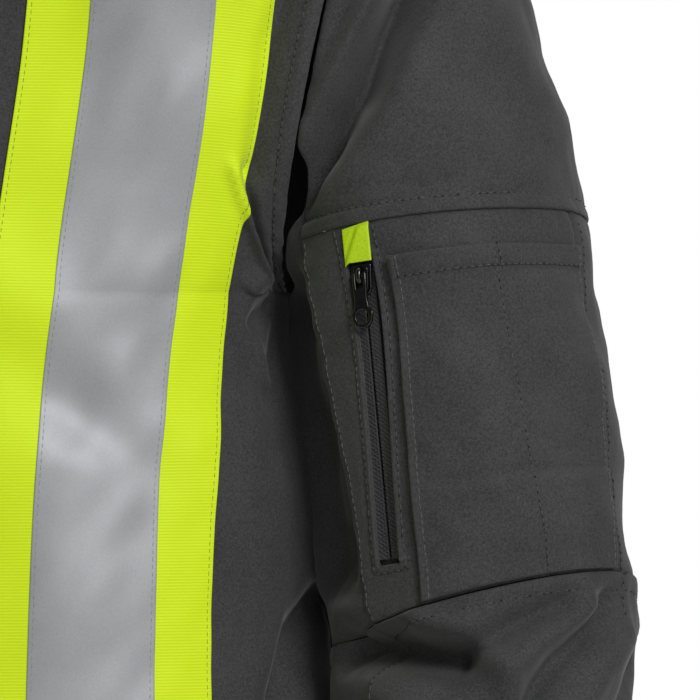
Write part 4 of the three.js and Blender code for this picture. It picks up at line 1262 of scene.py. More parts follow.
def hand_zip_x(z):
    share = (HAND_ZIP_TOP_Z - z) / HAND_ZIP_LENGTH
    return HAND_ZIP_X + HAND_ZIP_LEAN * (2 * np.clip(share, -0.1, 1.1) - 1)


HAND_WINDOW_TOP = HAND_ZIP_TOP_Z + 2.5
HAND_WINDOW_FOOT = HAND_ZIP_TOP_Z - HAND_ZIP_LENGTH
WINDOW_SHARES = (0.195, 0.24)


def window_share(r, offset):
    """Where a side of the hand pocket's opening lies between a front panel's two edges."""
    low = np.minimum(r, row_of_height(HAND_WINDOW_TOP + 5))
    z = mix(HEM_Z, UNDERARM_Z, low / UNDERARM_R)
    q = across_at_x(-1, low, hand_zip_x(z) + offset)
    start, end = front_start(low), side_gap(-1, low)
    return (q - start) / (end - start)


def front_panel(side):
    def surface(u, v):
        r = row_at(v)
        column = r[:1]
        low, high = window_share(column, -WINDOW_HALF - 0.05), window_share(column, WINDOW_HALF + 0.05)
        u0, u1 = WINDOW_SHARES
        share = np.where(
            u < u0, low * u / u0,
            np.where(u < u1, mix(low, high, (u - u0) / (u1 - u0)), mix(high, 1, (u - u1) / (1 - u1)))
        )
        q = mix(front_start(column), side_gap(-1, column), share)
        return on_torso(-1, q, r, side)
    return surface


def half_back(u, v, side):
    r = row_at(v)
    return on_torso(1, np.abs(u) * side_gap(1, r[:1]), r, side)


def back_surface(u, v):
    signed = 2 * u - 1
    left, right = half_back(signed, v, 1), half_back(signed, v, -1)
    where = signed >= 0
    return tuple(np.where(where if a.ndim == 2 else where[..., None], a, b) for a, b in zip(left, right))


def front_line(side, q, r):
    """A run for stitching on a front panel."""
    return on_torso(-1, *np.broadcast_arrays(q, r), side)


def build_front(settings):
    fine, coarse = settings.fine_grid * 1000, settings.coarse_grid * 1000
    knots_v = tuple(place_of_row(row_of_height(z)) for z in (HAND_WINDOW_FOOT, HAND_WINDOW_TOP))
    for side in (1, -1):
        label = side_name(side)
        u = grid_lines(262, coarse * 0.9, WINDOW_SHARES)
        v = grid_lines(742, coarse * 0.9, knots_v)
        if side > 0:
            extra_u = np.arange(0.52, 0.985, fine / 262)
            extra_v = np.arange(place_of_row(row_of_height(-440)), 0.96, fine / 742)
            u = np.array(sorted(set(u[(u < 0.51) | (u > 0.99)]) | set(extra_u)))
            v = np.array(sorted(set(v[(v < extra_v[0] - 0.002) | (v > 0.965)]) | set(extra_v)))
            v = np.array(sorted(set(v) | set(knots_v)))
        piece = cloth(
            f"front_panel_{label}_cloth", front_panel(side), u, v, -FABRIC, 0,
            [MATERIALS["softshell"], MATERIALS["fleece"]],
            hole=(*WINDOW_SHARES, *knots_v),
        )
        fit(piece, f"front_panel_{label}", "coat", "hung", (f"sleeve_cap_{label}_cloth",))
        r = np.linspace(0.52, 0.985, 700)
        runs = [front_line(side, along_row(-1, r, np.ones_like(r), -7.0), r)]
        low = row_of_height(np.linspace(HEM_Z + 1, FRONT_NECK_Z - 200, 900))
        runs.append(front_line(side, along_row(-1, low, front_start(low), 6.5), low))
        q = np.linspace(0.04, 0.99, 400)
        runs.append(front_line(side, q, np.full(400, float(row_of_height(HEM_Z + 22)))))
        z = np.linspace(HAND_WINDOW_FOOT - 2, HAND_WINDOW_TOP + 2, 200)
        for offset in (-7.4, 7.4):
            rows = row_of_height(z)
            runs.append(front_line(side, across_at_x(-1, rows, hand_zip_x(z) + offset), rows))
        sewn(f"front_topstitching_{label}", "coat", runs, settings)
        bag = cloth(
            f"hand_pocket_bag_{label}_cloth",
            lambda u, v: on_torso(
                -1, mix(*HAND_BAG_ACROSS, u), row_of_height(mix(HAND_BAG_LOW_Z, HAND_ZIP_TOP_Z + 12, v)), side
            ),
            grid_lines(130, 5), grid_lines(180, 5), -BAG_DEPTH - 1, -BAG_DEPTH, [MATERIALS["fleece"]],
        )
        fit(bag, f"hand_pocket_bag_{label}", "coat", "hung", (f"front_panel_{label}_cloth",))


def build_back(settings):
    coarse = settings.coarse_grid * 1000
    piece = cloth(
        "back_panel_cloth", back_surface, grid_lines(530, coarse * 1.2), grid_lines(760, coarse * 1.2),
        -FABRIC, 0,
        [MATERIALS["softshell"], MATERIALS["fleece"]],
    )
    fit(
        piece, "back_panel", "coat", "hung",
        ("front_panel_left_cloth", "front_panel_right_cloth")
    )
    runs = []
    for side in (1, -1):
        r = np.linspace(0.52, 0.985, 500)
        runs.append(on_torso(1, along_row(1, r, np.ones_like(r), -7.0), r, side))
        q = np.linspace(0.001, 0.99, 300)
        runs.append(on_torso(1, q, np.full(300, float(row_of_height(HEM_Z + 22))), side))
        low = row_of_height(np.linspace(HEM_Z + 24, UNDERARM_Z - 6, 500))
        runs.append(on_torso(1, along_row(1, low, np.ones_like(low), -5.0), low, side))
    sewn("back_topstitching", "coat", runs, settings)


# ---- Bands ----
BAND_WIDTH = 100
TAPE_WIDTH = 50
WAIST_BAND_TOP_Z = -574
BAND_LINE = [(-725, 133), (-421, 133), (-281, 138), (-141, 156), (0, 158)]
BAND_ROW = row_of_height(WAIST_BAND_TOP_Z + 1)
BAND_SPLIT = 0.5
BAND_LIFT = 0.5
BAND_THICK = 0.8
TAPE_THICK = 0.35


def band_middle(face, r):
    q = np.full(r.shape, 0.6)
    for _ in range(10):
        q = across_at_x(face, r, through(BAND_LINE, torso(face, q, r)[..., 2]))
    return q


def band_surface(width, side):
    """v runs up the front from the waist band (0) to the shoulder (0.5) and down the back (1)."""
    def surface(u, v):
        up = np.where(v <= BAND_SPLIT, v, 1 - v) / BAND_SPLIT
        r = np.interp(up, [0, 0.53, 1], [BAND_ROW, UNDERARM_R, 1])
        column = r[:1]
        both = []
        for face in (-1, 1):
            q = along_row(face, r, np.broadcast_to(band_middle(face, column), r.shape), (u - 0.5) * width)
            both.append(on_torso(face, q, r, side))
        where = v <= BAND_SPLIT
        point, normal, height = (
            np.where(where if a.ndim == 2 else where[..., None], a, b) for a, b in zip(*both)
        )
        return point, normal, height + 0.6 * bump(v - 0.52, 0.06)
    return surface


def waist_surface(low, high):
    def surface(u, v):
        turn = 4 * u
        part = np.clip(np.floor(turn), 0, 3)
        across = turn - part
        q = np.where(part % 2 == 0, across, 1 - across)
        r = row_of_height(mix(low, high, v))
        start = front_start(r[:1])
        found = None
        for number, (face, side) in enumerate(((-1, 1), (1, 1), (1, -1), (-1, -1))):
            made = on_torso(face, mix(start, 1, q) if face < 0 else q, r, side)
            where = part == number
            found = made if found is None else tuple(
                np.where(where if a.ndim == 2 else where[..., None], a, b) for a, b in zip(made, found)
            )
        return found
    return surface


def build_bands(settings):
    fine = settings.coarse_grid * 1000 * 0.75
    tape_lift = BAND_LIFT + BAND_THICK + 0.15
    waist_low = WAIST_BAND_TOP_Z - BAND_WIDTH
    margin = (BAND_WIDTH - TAPE_WIDTH) / 2
    for side in (1, -1):
        label = side_name(side)
        step = settings.fine_grid * 1100 if side > 0 else fine * 1.3
        for name, width, low, thick, finish, slot_name in (
            ("contrast_band", BAND_WIDTH, BAND_LIFT, BAND_THICK, "hi_vis", "hi_vis_fabric"),
            ("reflective_tape", TAPE_WIDTH, tape_lift, TAPE_THICK, "reflective", "reflective_tape"),
        ):
            piece = cloth(
                f"{name}_{label}_cloth", band_surface(width, side), grid_lines(width, step),
                grid_lines(1130, step),
                low, low + thick, [MATERIALS[finish]],
            )
            under = "front_panel" if name == "contrast_band" else "contrast_band"
            fit(piece, f"{name}_{label}", "coat", "stretched", (f"{under}_{label}_cloth",))
        v = np.linspace(0.004, 0.996, 2200)
        for name, width, inset, finish, lift in (
            ("contrast_band", BAND_WIDTH, 2.0, "green", BAND_LIFT + BAND_THICK),
            ("reflective_tape", TAPE_WIDTH, 1.8, "silver", tape_lift + TAPE_THICK),
        ):
            surface = band_surface(width, side)
            places = (inset / width, 1 - inset / width)
            runs = [tuple(a[0] for a in surface(np.full((1, 2200), place), v[None])) for place in places]
            sewn(
                f"{name}_stitching_{label}", "coat", runs, settings, finish, lift=lift - 0.05, radius=0.2,
                pitch=3.0, length=2.2
            )
    for name, low, high, lift, thick, finish, slot_name, under in (
        ("waist_band", waist_low, WAIST_BAND_TOP_Z, BAND_LIFT, BAND_THICK, "hi_vis", "hi_vis_fabric",
        "back_panel_cloth"),
        ("waist_reflective_tape", waist_low + margin, WAIST_BAND_TOP_Z - margin, tape_lift, TAPE_THICK,
        "reflective",
         "reflective_tape", "waist_band_cloth"),
    ):
        surface = waist_surface(low, high)
        piece = cloth(
            f"{name}_cloth", surface, grid_lines(1010, fine * 1.5), grid_lines(high - low, fine * 1.2), lift,
            lift + thick,
            [MATERIALS[finish]], turned=True,
        )
        fit(piece, name, "coat", "stretched", (under,))
        u = np.linspace(0.002, 0.998, 2400)
        runs = []
        for place in (2.0 / (high - low), 1 - 2.0 / (high - low)):
            runs.append(tuple(a[:, 0] for a in surface(*np.meshgrid(u, [place], indexing="ij"))))
        sewn(f"{name}_stitching", "coat", runs, settings, "green" if name == "waist_band" else "silver",
             lift=lift + thick - 0.05, radius=0.2, pitch=3.0, length=2.2)


# ---- Sleeves ----
def sleeve_panel(start, end, high, low, side):
    """A panel between two seams and two heights, which may depend on the angle."""
    def surface(u, v):
        guide = mix(low(np.full_like(u, math.pi / 4)), CAP_SEAM_Z, v)
        gap = SEAM_GAP / 2 / SLEEVE_HALF_WIDTH
        rough = mix(start(guide) + gap, end(guide) - gap, u)
        z = mix(low(rough), high(rough), v)
        angle = mix(start(z) + gap, end(z) - gap, u)
        return on_sleeve(angle, z, side)
    return surface


def armhole_edge(angle):
    return sleeve_start(angle) - ARMHOLE_GAP


def level(z):
    return lambda angle: np.full_like(angle, z)


HALF_GAP = SEAM_GAP / 2
POCKET_U = (0.13, 0.215)
POCKET_V = (0.16, 0.918)
SLEEVE_WINDOW_TOP = ZIP_TOP_Z + 2.5


def zip_angle(z):
    return mix(ZIP_ANGLE_TOP, ZIP_ANGLE_FOOT, (ZIP_TOP_Z - z) / POCKET_ZIP_LENGTH)


def on_pocket(angle, z):
    """The pocket panel: calm beside its zip, with a raised lip, and hollow where the pull lies when open."""
    point, normal, height = on_sleeve(angle, z, 1)
    beside = np.abs(angle - zip_angle(z)) * SLEEVE_HALF_DEPTH - WINDOW_HALF
    past = np.maximum(np.maximum(z - SLEEVE_WINDOW_TOP, ZIP_FOOT_Z - z), 0)
    lip = np.hypot(np.maximum(beside, 0), past)
    hollow = (
        smooth((ZIP_FOOT_Z + 2 - z) / 3) * smooth((z - ZIP_FOOT_Z + 28) / 10) * bump(beside + WINDOW_HALF, 9)
    )
    height = (
        height * mix(0.25, 1, smooth(lip / 16)) + 0.7 * bump(lip, 2.2) - 0.55 * bump(lip - LIP_STITCH, 1.3)
    )
    height = height * (1 - 0.8 * hollow) - 0.9 * hollow
    return point, normal, height + pucker(z, lip - 3, 0.22, 6, 4, 9)


def pocket_surface(u, v):
    """The pocket panel, its grid laid so that the zip's opening falls on grid lines."""
    v0, v1 = POCKET_V
    u0, u1 = POCKET_U
    half = (WINDOW_HALF + 0.05) / SLEEVE_HALF_DEPTH
    gap = SEAM_GAP / 2 / SLEEVE_HALF_WIDTH
    angle = mix(np.radians(-41), outer_seam(0), u)
    for _ in range(3):
        foot = elbow_seam(angle) + HALF_GAP
        top = CAP_SEAM_Z - HALF_GAP
        low = mix(foot, ZIP_FOOT_Z, v / v0)
        middle = mix(ZIP_FOOT_Z, SLEEVE_WINDOW_TOP, (v - v0) / (v1 - v0))
        z = np.where(v < v0, low, np.where(v < v1, middle, mix(SLEEVE_WINDOW_TOP, top, (v - v1) / (1 - v1))))
        first, last = front_seam(z) + gap, outer_seam(z) - gap
        left, right = zip_angle(z) - half, zip_angle(z) + half
        angle = np.where(u < u0, mix(first, left, u / u0), np.where(
            u < u1, mix(left, right, (u - u0) / (u1 - u0)), mix(right, last, (u - u1) / (1 - u1))))
    return on_pocket(angle, z)


PEN_TOP_Z = CAP_SEAM_Z - 15


def pen_surface(u, v):
    edge = mix(ELBOW_SEAM_Z, PEN_TOP_Z, v)
    start = np.radians(mix(*PEN_EDGE, v))
    angle = mix(start, outer_seam(edge) - math.radians(1.5), u)
    z = mix(elbow_seam(angle) + 1, PEN_TOP_Z, v)
    point, normal, height = on_sleeve(angle, z, 1)
    left = (angle - start) * SLEEVE_HALF_DEPTH
    top = PEN_TOP_Z - z
    divide = (angle - np.radians(mix(*PEN_DIVISION, v))) * SLEEVE_HALF_DEPTH
    hem = 0.75 * smooth((9.6 - top) / 1.4) - 0.55 * bump(top - PEN_HEM, 1.1)
    fold = 0.9 * smooth((3.8 - left) / 1.4) - 0.5 * bump(left - 3.2, 1.1)
    height = height + hem + fold - 0.8 * bump(divide, 1.5) + pucker(z, divide, 0.22, 7, 5, 3)
    height += 0.9 * smooth(left / 18) * smooth((z - elbow_seam(angle)) / 20) * smooth(top / 22)
    rest = height + pucker(angle * 64, top - PEN_HEM, 0.2, 7, 5, 4)
    return point, normal, rest + pucker(z, left - 3, 0.18, 6, 4, 5)


def sleeve_run(degrees, z, side=1):
    degrees, z = np.broadcast_arrays(degrees, z)
    return on_sleeve(np.radians(degrees), z, side)


def build_sleeves(settings):
    fine, coarse = settings.fine_grid * 1000, settings.coarse_grid * 1000
    softshell = [MATERIALS["softshell"], MATERIALS["fleece"]]
    cap_foot, pocket_top = level(CAP_SEAM_Z + HALF_GAP), level(CAP_SEAM_Z - HALF_GAP)

    def above_elbow(angle):
        return elbow_seam(angle) + HALF_GAP

    def below_elbow(angle):
        return elbow_seam(angle) - HALF_GAP

    cuff_seam = level(CUFF_SEAM_Z + HALF_GAP)
    for side in (1, -1):
        label = side_name(side)
        near = fine if side > 0 else coarse
        neighbours = (f"front_panel_{label}_cloth", "back_panel_cloth")
        upper = (
            ("sleeve_cap", front_seam, back_seam, armhole_edge, cap_foot, 262, 150, near * 1.1),
            ("sleeve_rear_panel", outer_seam, back_seam, pocket_top, above_elbow, 132, 150, near * 1.6),
            ("sleeve_under_panel", back_seam, wrapped(front_seam), armhole_edge, above_elbow, 140, 150,
            near * 1.3),
        )
        for name, start, end, high, low, width, length, step in upper:
            piece = cloth(
                f"{name}_{label}_cloth", sleeve_panel(start, end, high, low, side),
                grid_lines(width, step), grid_lines(length, step), -FABRIC, 0, softshell,
            )
            fit(piece, f"{name}_{label}", "coat", "hung", neighbours)
        if side < 0:
            piece = cloth(
                "sleeve_front_panel_right_cloth",
                sleeve_panel(front_seam, outer_seam, pocket_top, above_elbow, side),
                grid_lines(130, coarse), grid_lines(150, coarse), -FABRIC, 0, softshell,
            )
            fit(piece, "sleeve_front_panel_right", "coat", "hung", neighbours)
        start = (side * 0.272, -0.139, -0.388)
        end = (side * 0.274, -0.160, -0.520)
        for name, first, last, width in (
            ("forearm_panel", front_seam, back_seam, 230),
            ("forearm_under_panel", back_seam, wrapped(front_seam), 130),
        ):
            piece = cloth(
                f"{name}_{label}_cloth", sleeve_panel(first, last, below_elbow, cuff_seam, side),
                grid_lines(width, near * 1.3), grid_lines(262, near * 1.3), -FABRIC, 0, softshell,
            )
            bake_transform(piece)
            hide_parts(f"{name}_{label}")
            declare(piece, "hung", f"sleeve_under_panel_{label}_cloth")
        build_cuff(settings, side, softshell)
        angles = np.linspace(-42.5, 191, 700)
        z_front = np.linspace(CAP_SEAM_Z - 2, ELBOW_SEAM_Z - 4, 260)
        front = front_seam(z_front) * RAD_TO_DEG
        runs = [
            sleeve_run(angles, CAP_SEAM_Z + CAP_STITCH, side),
            sleeve_run(front + 1.6, z_front, side),
            sleeve_run(outer_seam(z_front) * RAD_TO_DEG + 4.5, z_front, side),
        ]
        sewn(f"sleeve_topstitching_{label}", "coat", runs, settings)
        elbow_z = elbow_seam(np.radians(angles)) - ELBOW_STITCH
        z_low = np.linspace(ELBOW_SEAM_Z - 16, CUFF_SEAM_Z + 2, 420)
        runs = [
            sleeve_run(angles, elbow_z, side),
            sleeve_run(-36.4, z_low, side),
            sleeve_run(angles, np.full(700, CUFF_SEAM_Z + 5.0), side),
        ]
        made = sewn(f"forearm_topstitching_{label}", None, runs, settings)
        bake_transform(made)


def build_cuff(settings, side, softshell):
    label = side_name(side)
    coarse = settings.coarse_grid * 1000
    forearm = f"forearm_{label}"
    gap = 0.3 / CUFF_RADIUS
    piece = cloth(
        f"cuff_{label}_cloth",
        lambda u, v: on_sleeve(
            mix(gap, 2 * math.pi - gap, u) - 2.6, mix(CUFF_END_Z, CUFF_SEAM_Z - HALF_GAP, v), side
        ),
        grid_lines(290, coarse), grid_lines(42, coarse * 0.8), -FABRIC, 0, softshell,
    )
    fit(piece, f"cuff_{label}", forearm, "hung", (f"forearm_panel_{label}_cloth",))
    around = np.linspace(-148, 208, 700)
    sewn(f"cuff_stitching_{label}", forearm, [sleeve_run(around, CUFF_END_Z + 4.0, side)], settings)

    def tab(u, v):
        tip = smooth(u / 0.12)
        middle = (CUFF_END_Z + CUFF_SEAM_Z) / 2
        z = mix(CUFF_END_Z + 7, CUFF_SEAM_Z - 7, v)
        z = middle + (z - middle) * mix(0.72, 1, tip ** 0.5)
        return on_sleeve(np.radians(mix(72, 168, u)), z, side)

    piece = cloth(
        f"cuff_tab_{label}_cloth", tab, grid_lines(78, 2.5), grid_lines(28, 2.5), 0.9, 2.7,
        [MATERIALS["softshell"], MATERIALS["tape"]],
    )
    fit(piece, f"cuff_tab_{label}", f"cuff_tab_{label}", "hung", (f"cuff_{label}_cloth",))
    u = np.linspace(0.05, 0.98, 120)
    v = np.linspace(0.1, 0.9, 50)
    runs = [tuple(a[:, 0] for a in tab(*np.meshgrid(u, [place], indexing="ij"))) for place in (0.1, 0.9)]
    runs += [
        tuple(a[0] for a in tab(*np.meshgrid([place], v, indexing="ij"))) for place in (0.05, 0.95, 0.86)
    ]
    sewn(f"cuff_tab_stitching_{label}", f"cuff_tab_{label}", runs, settings, lift=2.75)


def build_sleeve_pocket(settings):
    fine = settings.fine_grid * 1000
    softshell = [MATERIALS["softshell"], MATERIALS["fleece"]]
    piece = cloth(
        "sleeve_pocket_panel_cloth", pocket_surface, grid_lines(130, fine, POCKET_U),
        grid_lines(150, fine, POCKET_V),
        -FABRIC, 0, softshell, hole=(*POCKET_U, *POCKET_V),
    )
    fit(
        piece, "sleeve_pocket_panel", "coat", "hung",
        ("sleeve_cap_left_cloth", "sleeve_rear_panel_left_cloth")
    )
    pen = cloth(
        "pen_pocket_cloth", pen_surface, grid_lines(94, fine * 0.8), grid_lines(135, fine * 0.8), 0.45, 2.2,
        softshell,
    )
    fit(pen, "pen_pocket", "coat", "stretched", ("sleeve_pocket_panel_cloth",))
    bag = cloth(
        "sleeve_pocket_bag_cloth",
        lambda u, v: on_sleeve(np.radians(mix(-36, 50, u)), mix(ELBOW_SEAM_Z + 5, CAP_SEAM_Z - 4, v), 1),
        grid_lines(96, 5), grid_lines(145, 5), -BAG_DEPTH - 1, -BAG_DEPTH, [MATERIALS["fleece"]],
    )
    fit(bag, "sleeve_pocket_bag", "coat", "hung", ("sleeve_pocket_panel_cloth",))

    z = np.linspace(CAP_SEAM_Z - 1, ZIP_FOOT_Z - LIP_STITCH, 300)
    middle = zip_angle(z)
    away = 8.1 / SLEEVE_HALF_DEPTH
    across = np.linspace(-away, away, 60)
    foot = np.full(60, ZIP_FOOT_Z - LIP_STITCH)
    foot_angle = zip_angle(ZIP_FOOT_Z) + across
    runs = [on_pocket(middle - away, z), on_pocket(middle + away, z), on_pocket(foot_angle, foot)]
    sewn("sleeve_pocket_stitching", "coat", runs, settings)
    tack_z = np.full(40, ZIP_FOOT_Z + 1.2)
    tack = on_pocket(zip_angle(ZIP_FOOT_Z) + np.radians(np.linspace(5.2, 9.4, 40)), tack_z)
    sewn(
        "sleeve_pocket_bartack", "coat", [tack], settings, pitch=0.55, length=2.2, radius=0.26, crosswise=True
    )

    def pen_run(u, v):
        u, v = np.broadcast_arrays(u, v)
        point, normal, height = pen_surface(u[None], v[None])
        return point[0], normal[0], height[0] + 2.2

    v = np.linspace(0.0, 0.995, 300)
    height = PEN_TOP_Z - ELBOW_SEAM_Z
    width = 92.0
    left = 3.2 / width
    divide = (np.radians(mix(*PEN_DIVISION, v)) - np.radians(mix(*PEN_EDGE, v))) * SLEEVE_HALF_DEPTH / width
    hem = 1 - PEN_HEM / height
    runs = [pen_run(np.linspace(0.0, 0.985, 200), hem), pen_run(divide, v)]
    runs.append(pen_run(divide[-20:] + 0.02, v[-20:]))
    sewn("pen_pocket_stitching", "coat", runs, settings, lift=0.0)
    sewn(
        "pen_pocket_edge_stitching", "coat", [pen_run(left, v), pen_run(1 - 2.4 / width, v)], settings,
        "light", lift=0.05
    )
    tack = pen_run(1.6 / width, np.linspace(hem, 0.99, 30))
    sewn("pen_pocket_bartack", "coat", [tack], settings, pitch=0.6, length=2.0, radius=0.26, crosswise=True)

    place = ZIPS["sleeve"]

    def garage(u, v):
        x = mix(-6, 6, u)
        z = mix(0.4 - 1.2 * smooth((0.2 - u) / 0.2), 15.2 + 0.17 * x, v)
        y = -0.4 + x * x / (2 * SLEEVE_HALF_DEPTH)
        point = in_zip(place, np.stack([x, y, z], -1))
        crease = ((x + 4.5) * 12 - (z - 1) * 6) / 13.4
        loose = smooth((1 - v) / 0.2) * smooth(u / 0.1)
        relief_mm = loose * (
            1.1 * bump(crease, 2.6) + 0.5 * smooth(crease / 4) - 0.8 * bump(crease + 1.6, 1.2)
        )
        return point, np.broadcast_to(-place[1][1], point.shape), relief_mm

    made = cloth(
        "sleeve_zip_garage_cloth", garage, grid_lines(12, 0.6), grid_lines(16.6, 0.6), 0, 0.8,
        [MATERIALS["garage"]]
    )
    fit(made, "sleeve_zip_garage", "coat", "folded", ("sleeve_pocket_panel_cloth",))


# ---- Collar, storm flap and hanger loop ----
def build_collar(settings):
    coarse = settings.coarse_grid * 1000
    softshell = [MATERIALS["softshell"], MATERIALS["fleece"]]

    def around(edge, low, high):
        start = math.asin(edge / NECK_HALF_WIDTH)

        def surface(u, v):
            turn = mix(start, 2 * math.pi - start, u)
            turn = np.where(turn > math.pi, turn - 2 * math.pi, turn)
            return on_collar(turn, mix(low, high, v))
        return surface

    outer = around(ZIP_EDGE, -2.5, COLLAR_HEIGHT)
    piece = cloth(
        "collar_outer_cloth", outer, grid_lines(500, coarse), grid_lines(57, coarse * 0.8), -FABRIC, 0,
        softshell
    )
    fit(piece, "collar_outer", "coat", "hung", ("front_panel_left_cloth", "back_panel_cloth"))
    inner = around(ZIP_EDGE + 16, -1, COLLAR_HEIGHT - 1)
    piece = cloth(
        "collar_lining_cloth", inner, grid_lines(460, coarse), grid_lines(54, coarse), -FABRIC - 2.2,
        -FABRIC - 1,
        [MATERIALS["fleece"]],
    )
    fit(piece, "collar_lining", "coat", "hung", ("collar_outer_cloth",))
    u = np.linspace(0.004, 0.996, 1200)
    runs = [tuple(a[:, 0] for a in outer(*np.meshgrid(u, [1 - 6 / 56.8], indexing="ij")))]
    v = np.linspace(0.02, 0.88, 120)
    runs += [tuple(a[0] for a in outer(*np.meshgrid([place], v, indexing="ij"))) for place in (0.013, 0.987)]
    sewn("collar_topstitching", "coat", runs, settings)
    place = ZIPS["front"]
    flap_y = BACK_Y + 2.3

    def flap(u, v):
        point = in_zip(
            place,
            np.stack([mix(-16, 16, u), np.full_like(u, flap_y + 1.3), mix(-FRONT_ZIP_LENGTH, 2, v)], -1)
        )
        return point, np.broadcast_to(-place[1][1] / FRONT_SCALE, point.shape), 0.25 * ripple(point, 61, 40)

    piece = cloth(
        "storm_flap_cloth", flap, grid_lines(40, 4), grid_lines(720, 5), 0, 1.6, [MATERIALS["fleece"]]
    )
    fit(piece, "storm_flap", "coat", "hung", ("front_zip_tape_left",))

    half, bridge, thick = 30, 23, 1.6
    root = BODY_Y + BACK_NECK_DEPTH * math.sqrt(1 - (half / NECK_HALF_WIDTH) ** 2) - FABRIC - 0.5

    def loop(u, v):
        x = mix(-half + 1.2, half - 1.2, u)
        rise = smooth((np.abs(x) - bridge + 0.6) / (half - bridge - 0.6))
        y = mix(0, root, rise)
        point = vec(x, y, mix(0, 9, v))
        slope = np.gradient(y[:, 0], x[:, 0])[:, None]
        return point, unit(vec(-slope, 1, 0)) * np.ones_like(point), np.zeros_like(u)

    piece = cloth(
        "hanger_loop_cloth", loop, grid_lines(64, 1.2), grid_lines(9, 1.0), -thick / 2, thick / 2,
        [MATERIALS["tape"]],
    )
    fit(piece, "hanger_loop", "coat", None)


def build_zips(settings):
    slider, pull = slider_shape(), pull_shape()
    for name, suffix, place, length in (
        ("front_zip", "", ZIPS["front"], FRONT_ZIP_LENGTH),
        ("sleeve_zip", "", ZIPS["sleeve"], POCKET_ZIP_LENGTH),
        ("hand_zip", "_left", ZIPS["hand_left"], HAND_ZIP_LENGTH),
        ("hand_zip", "_right", ZIPS["hand_right"], HAND_ZIP_LENGTH),
    ):
        slider_name, pull_name = f"{name}_slider{suffix}", f"{name}_pull{suffix}"
        hardware(f"{slider_name}_enamel", slider, place, slider_name, slider_name)
        hardware(f"{pull_name}_enamel", pull, place, pull_name, pull_name)
        if name == "front_zip":
            for side in (1, -1):
                label = side_name(side)
                coil(f"front_zip_coil_{label}_strips", place, length - 9, (side,), f"front_zip_coil_{label}")
                finish_node(f"front_zip_tape_{label}", MATERIALS["tape"])
        else:
            coil(f"{name}_coil{suffix}_strips", place, length - 0.6, (1, -1), f"{name}_coil{suffix}")
            finish_node(f"{name}_tape{suffix}", MATERIALS["tape"])
    place = ZIPS["front"]
    foot = -FRONT_ZIP_LENGTH
    outline = round_corner(
        [(-4.4, foot + 0.5), (4.4, foot + 0.5), (4.2, foot + 8.4), (-4.2, foot + 8.4)], 1.2
    )
    points, faces = together(
        plate([outline], COIL_TOP - 0.4, TAPE_DEPTH - 0.3, 0.45),
        bar([(-2.4, COIL_TOP - 0.3, foot + 4.4), (2.4, COIL_TOP - 0.3, foot + 4.4)], [0.35, 0.35]),
    )
    made = mesh_object("front_zip_box_moulding", in_zip(place, points), faces, MATERIALS["coil"], sharp=40)
    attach(made, "coat")
    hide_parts("front_zip_box")


# ---- Camera, floor and lights ----
CAMERA_AT = (0.6317, -2.3909, -0.281)  # in metres, where the render shows the photo's crop
CAMERA_TURN = math.radians(10)
LIT_PLACE = (0.2, -0.1, -0.3)
# place and size in metres, and share of the key light's power
LIGHTS = {
    "key light": ((1.7, -2.0, 1.2), (0.9, 0.9), 1),
    "fill light": ((1.3, -2.8, 0.3), (1.2, 1.4), 0.22),
    "top light": ((0.4, -0.2, 2.0), (1.4, 1.4), 0.35),
    "back light": ((-0.8, 2.4, 1.0), (2.0, 2.0), 0.6),
}
FLOOR_SIDES = 64
FLOOR_BELOW = 60  # from the hem down to the floor
FLOOR_RIM = ((2380, 0), (2398, 4), (2400, 12))  # radius and drop of the rings that round its edge


def soft_light(name, spot, size, power):
    lamp = bpy.data.lights.new(name, "AREA")
    lamp.shape = "RECTANGLE"
    lamp.size, lamp.size_y = size
    lamp.energy = power
    made = bpy.data.objects.new(name, lamp)
    bpy.context.collection.objects.link(made)
    made.location = spot
    made.rotation_euler = (Vector(LIT_PLACE) - Vector(spot)).to_track_quat("-Z", "Y").to_euler()


def build_stage(settings):
    camera = bpy.data.cameras.new("camera")
    camera.lens = 300
    camera.sensor_width = 36
    camera.clip_end = 50
    holder = bpy.data.objects.new("camera", camera)
    holder.location = CAMERA_AT
    holder.rotation_euler = (math.pi / 2, 0, CAMERA_TURN)
    bpy.context.collection.objects.link(holder)
    scene = bpy.context.scene
    scene.camera = holder
    scene.view_settings.view_transform = "Standard"
    world = bpy.data.worlds.new("studio")
    scene.world = world
    world.use_nodes = True
    background = world.node_tree.nodes["Background"]
    background.inputs["Color"].default_value = (1, 1, 1, 1)
    # The room is plain white, but lights the coat only as much as room_light says.
    ray = node(world.node_tree, "ShaderNodeLightPath").outputs["Is Camera Ray"]
    level_node = node(
        world.node_tree, "ShaderNodeMapRange", {"Value": ray, "To Min": settings.room_light, "To Max": 1.0}
    )
    world.node_tree.links.new(level_node.outputs[0], background.inputs["Strength"])
    for name, (spot, size, share) in LIGHTS.items():
        soft_light(name, spot, size, settings.key_power * share)
    turn = np.linspace(0, 2 * math.pi, FLOOR_SIDES, endpoint=False)
    low = CAD_BOX[0][2] * 1000 - FLOOR_BELOW
    rings = [vec(radius * np.cos(turn), radius * np.sin(turn), low - drop) for radius, drop in FLOOR_RIM]
    faces = [tuple(range(FLOOR_SIDES))]
    for k in range(len(FLOOR_RIM) - 1):
        inner, outer = k * FLOOR_SIDES, (k + 1) * FLOOR_SIDES
        for i in range(FLOOR_SIDES):
            j = (i + 1) % FLOOR_SIDES
            faces.append((inner + i, outer + i, outer + j, inner + j))
    mesh_object("studio_floor", np.concatenate(rings), faces, MATERIALS["floor"], sharp=30)


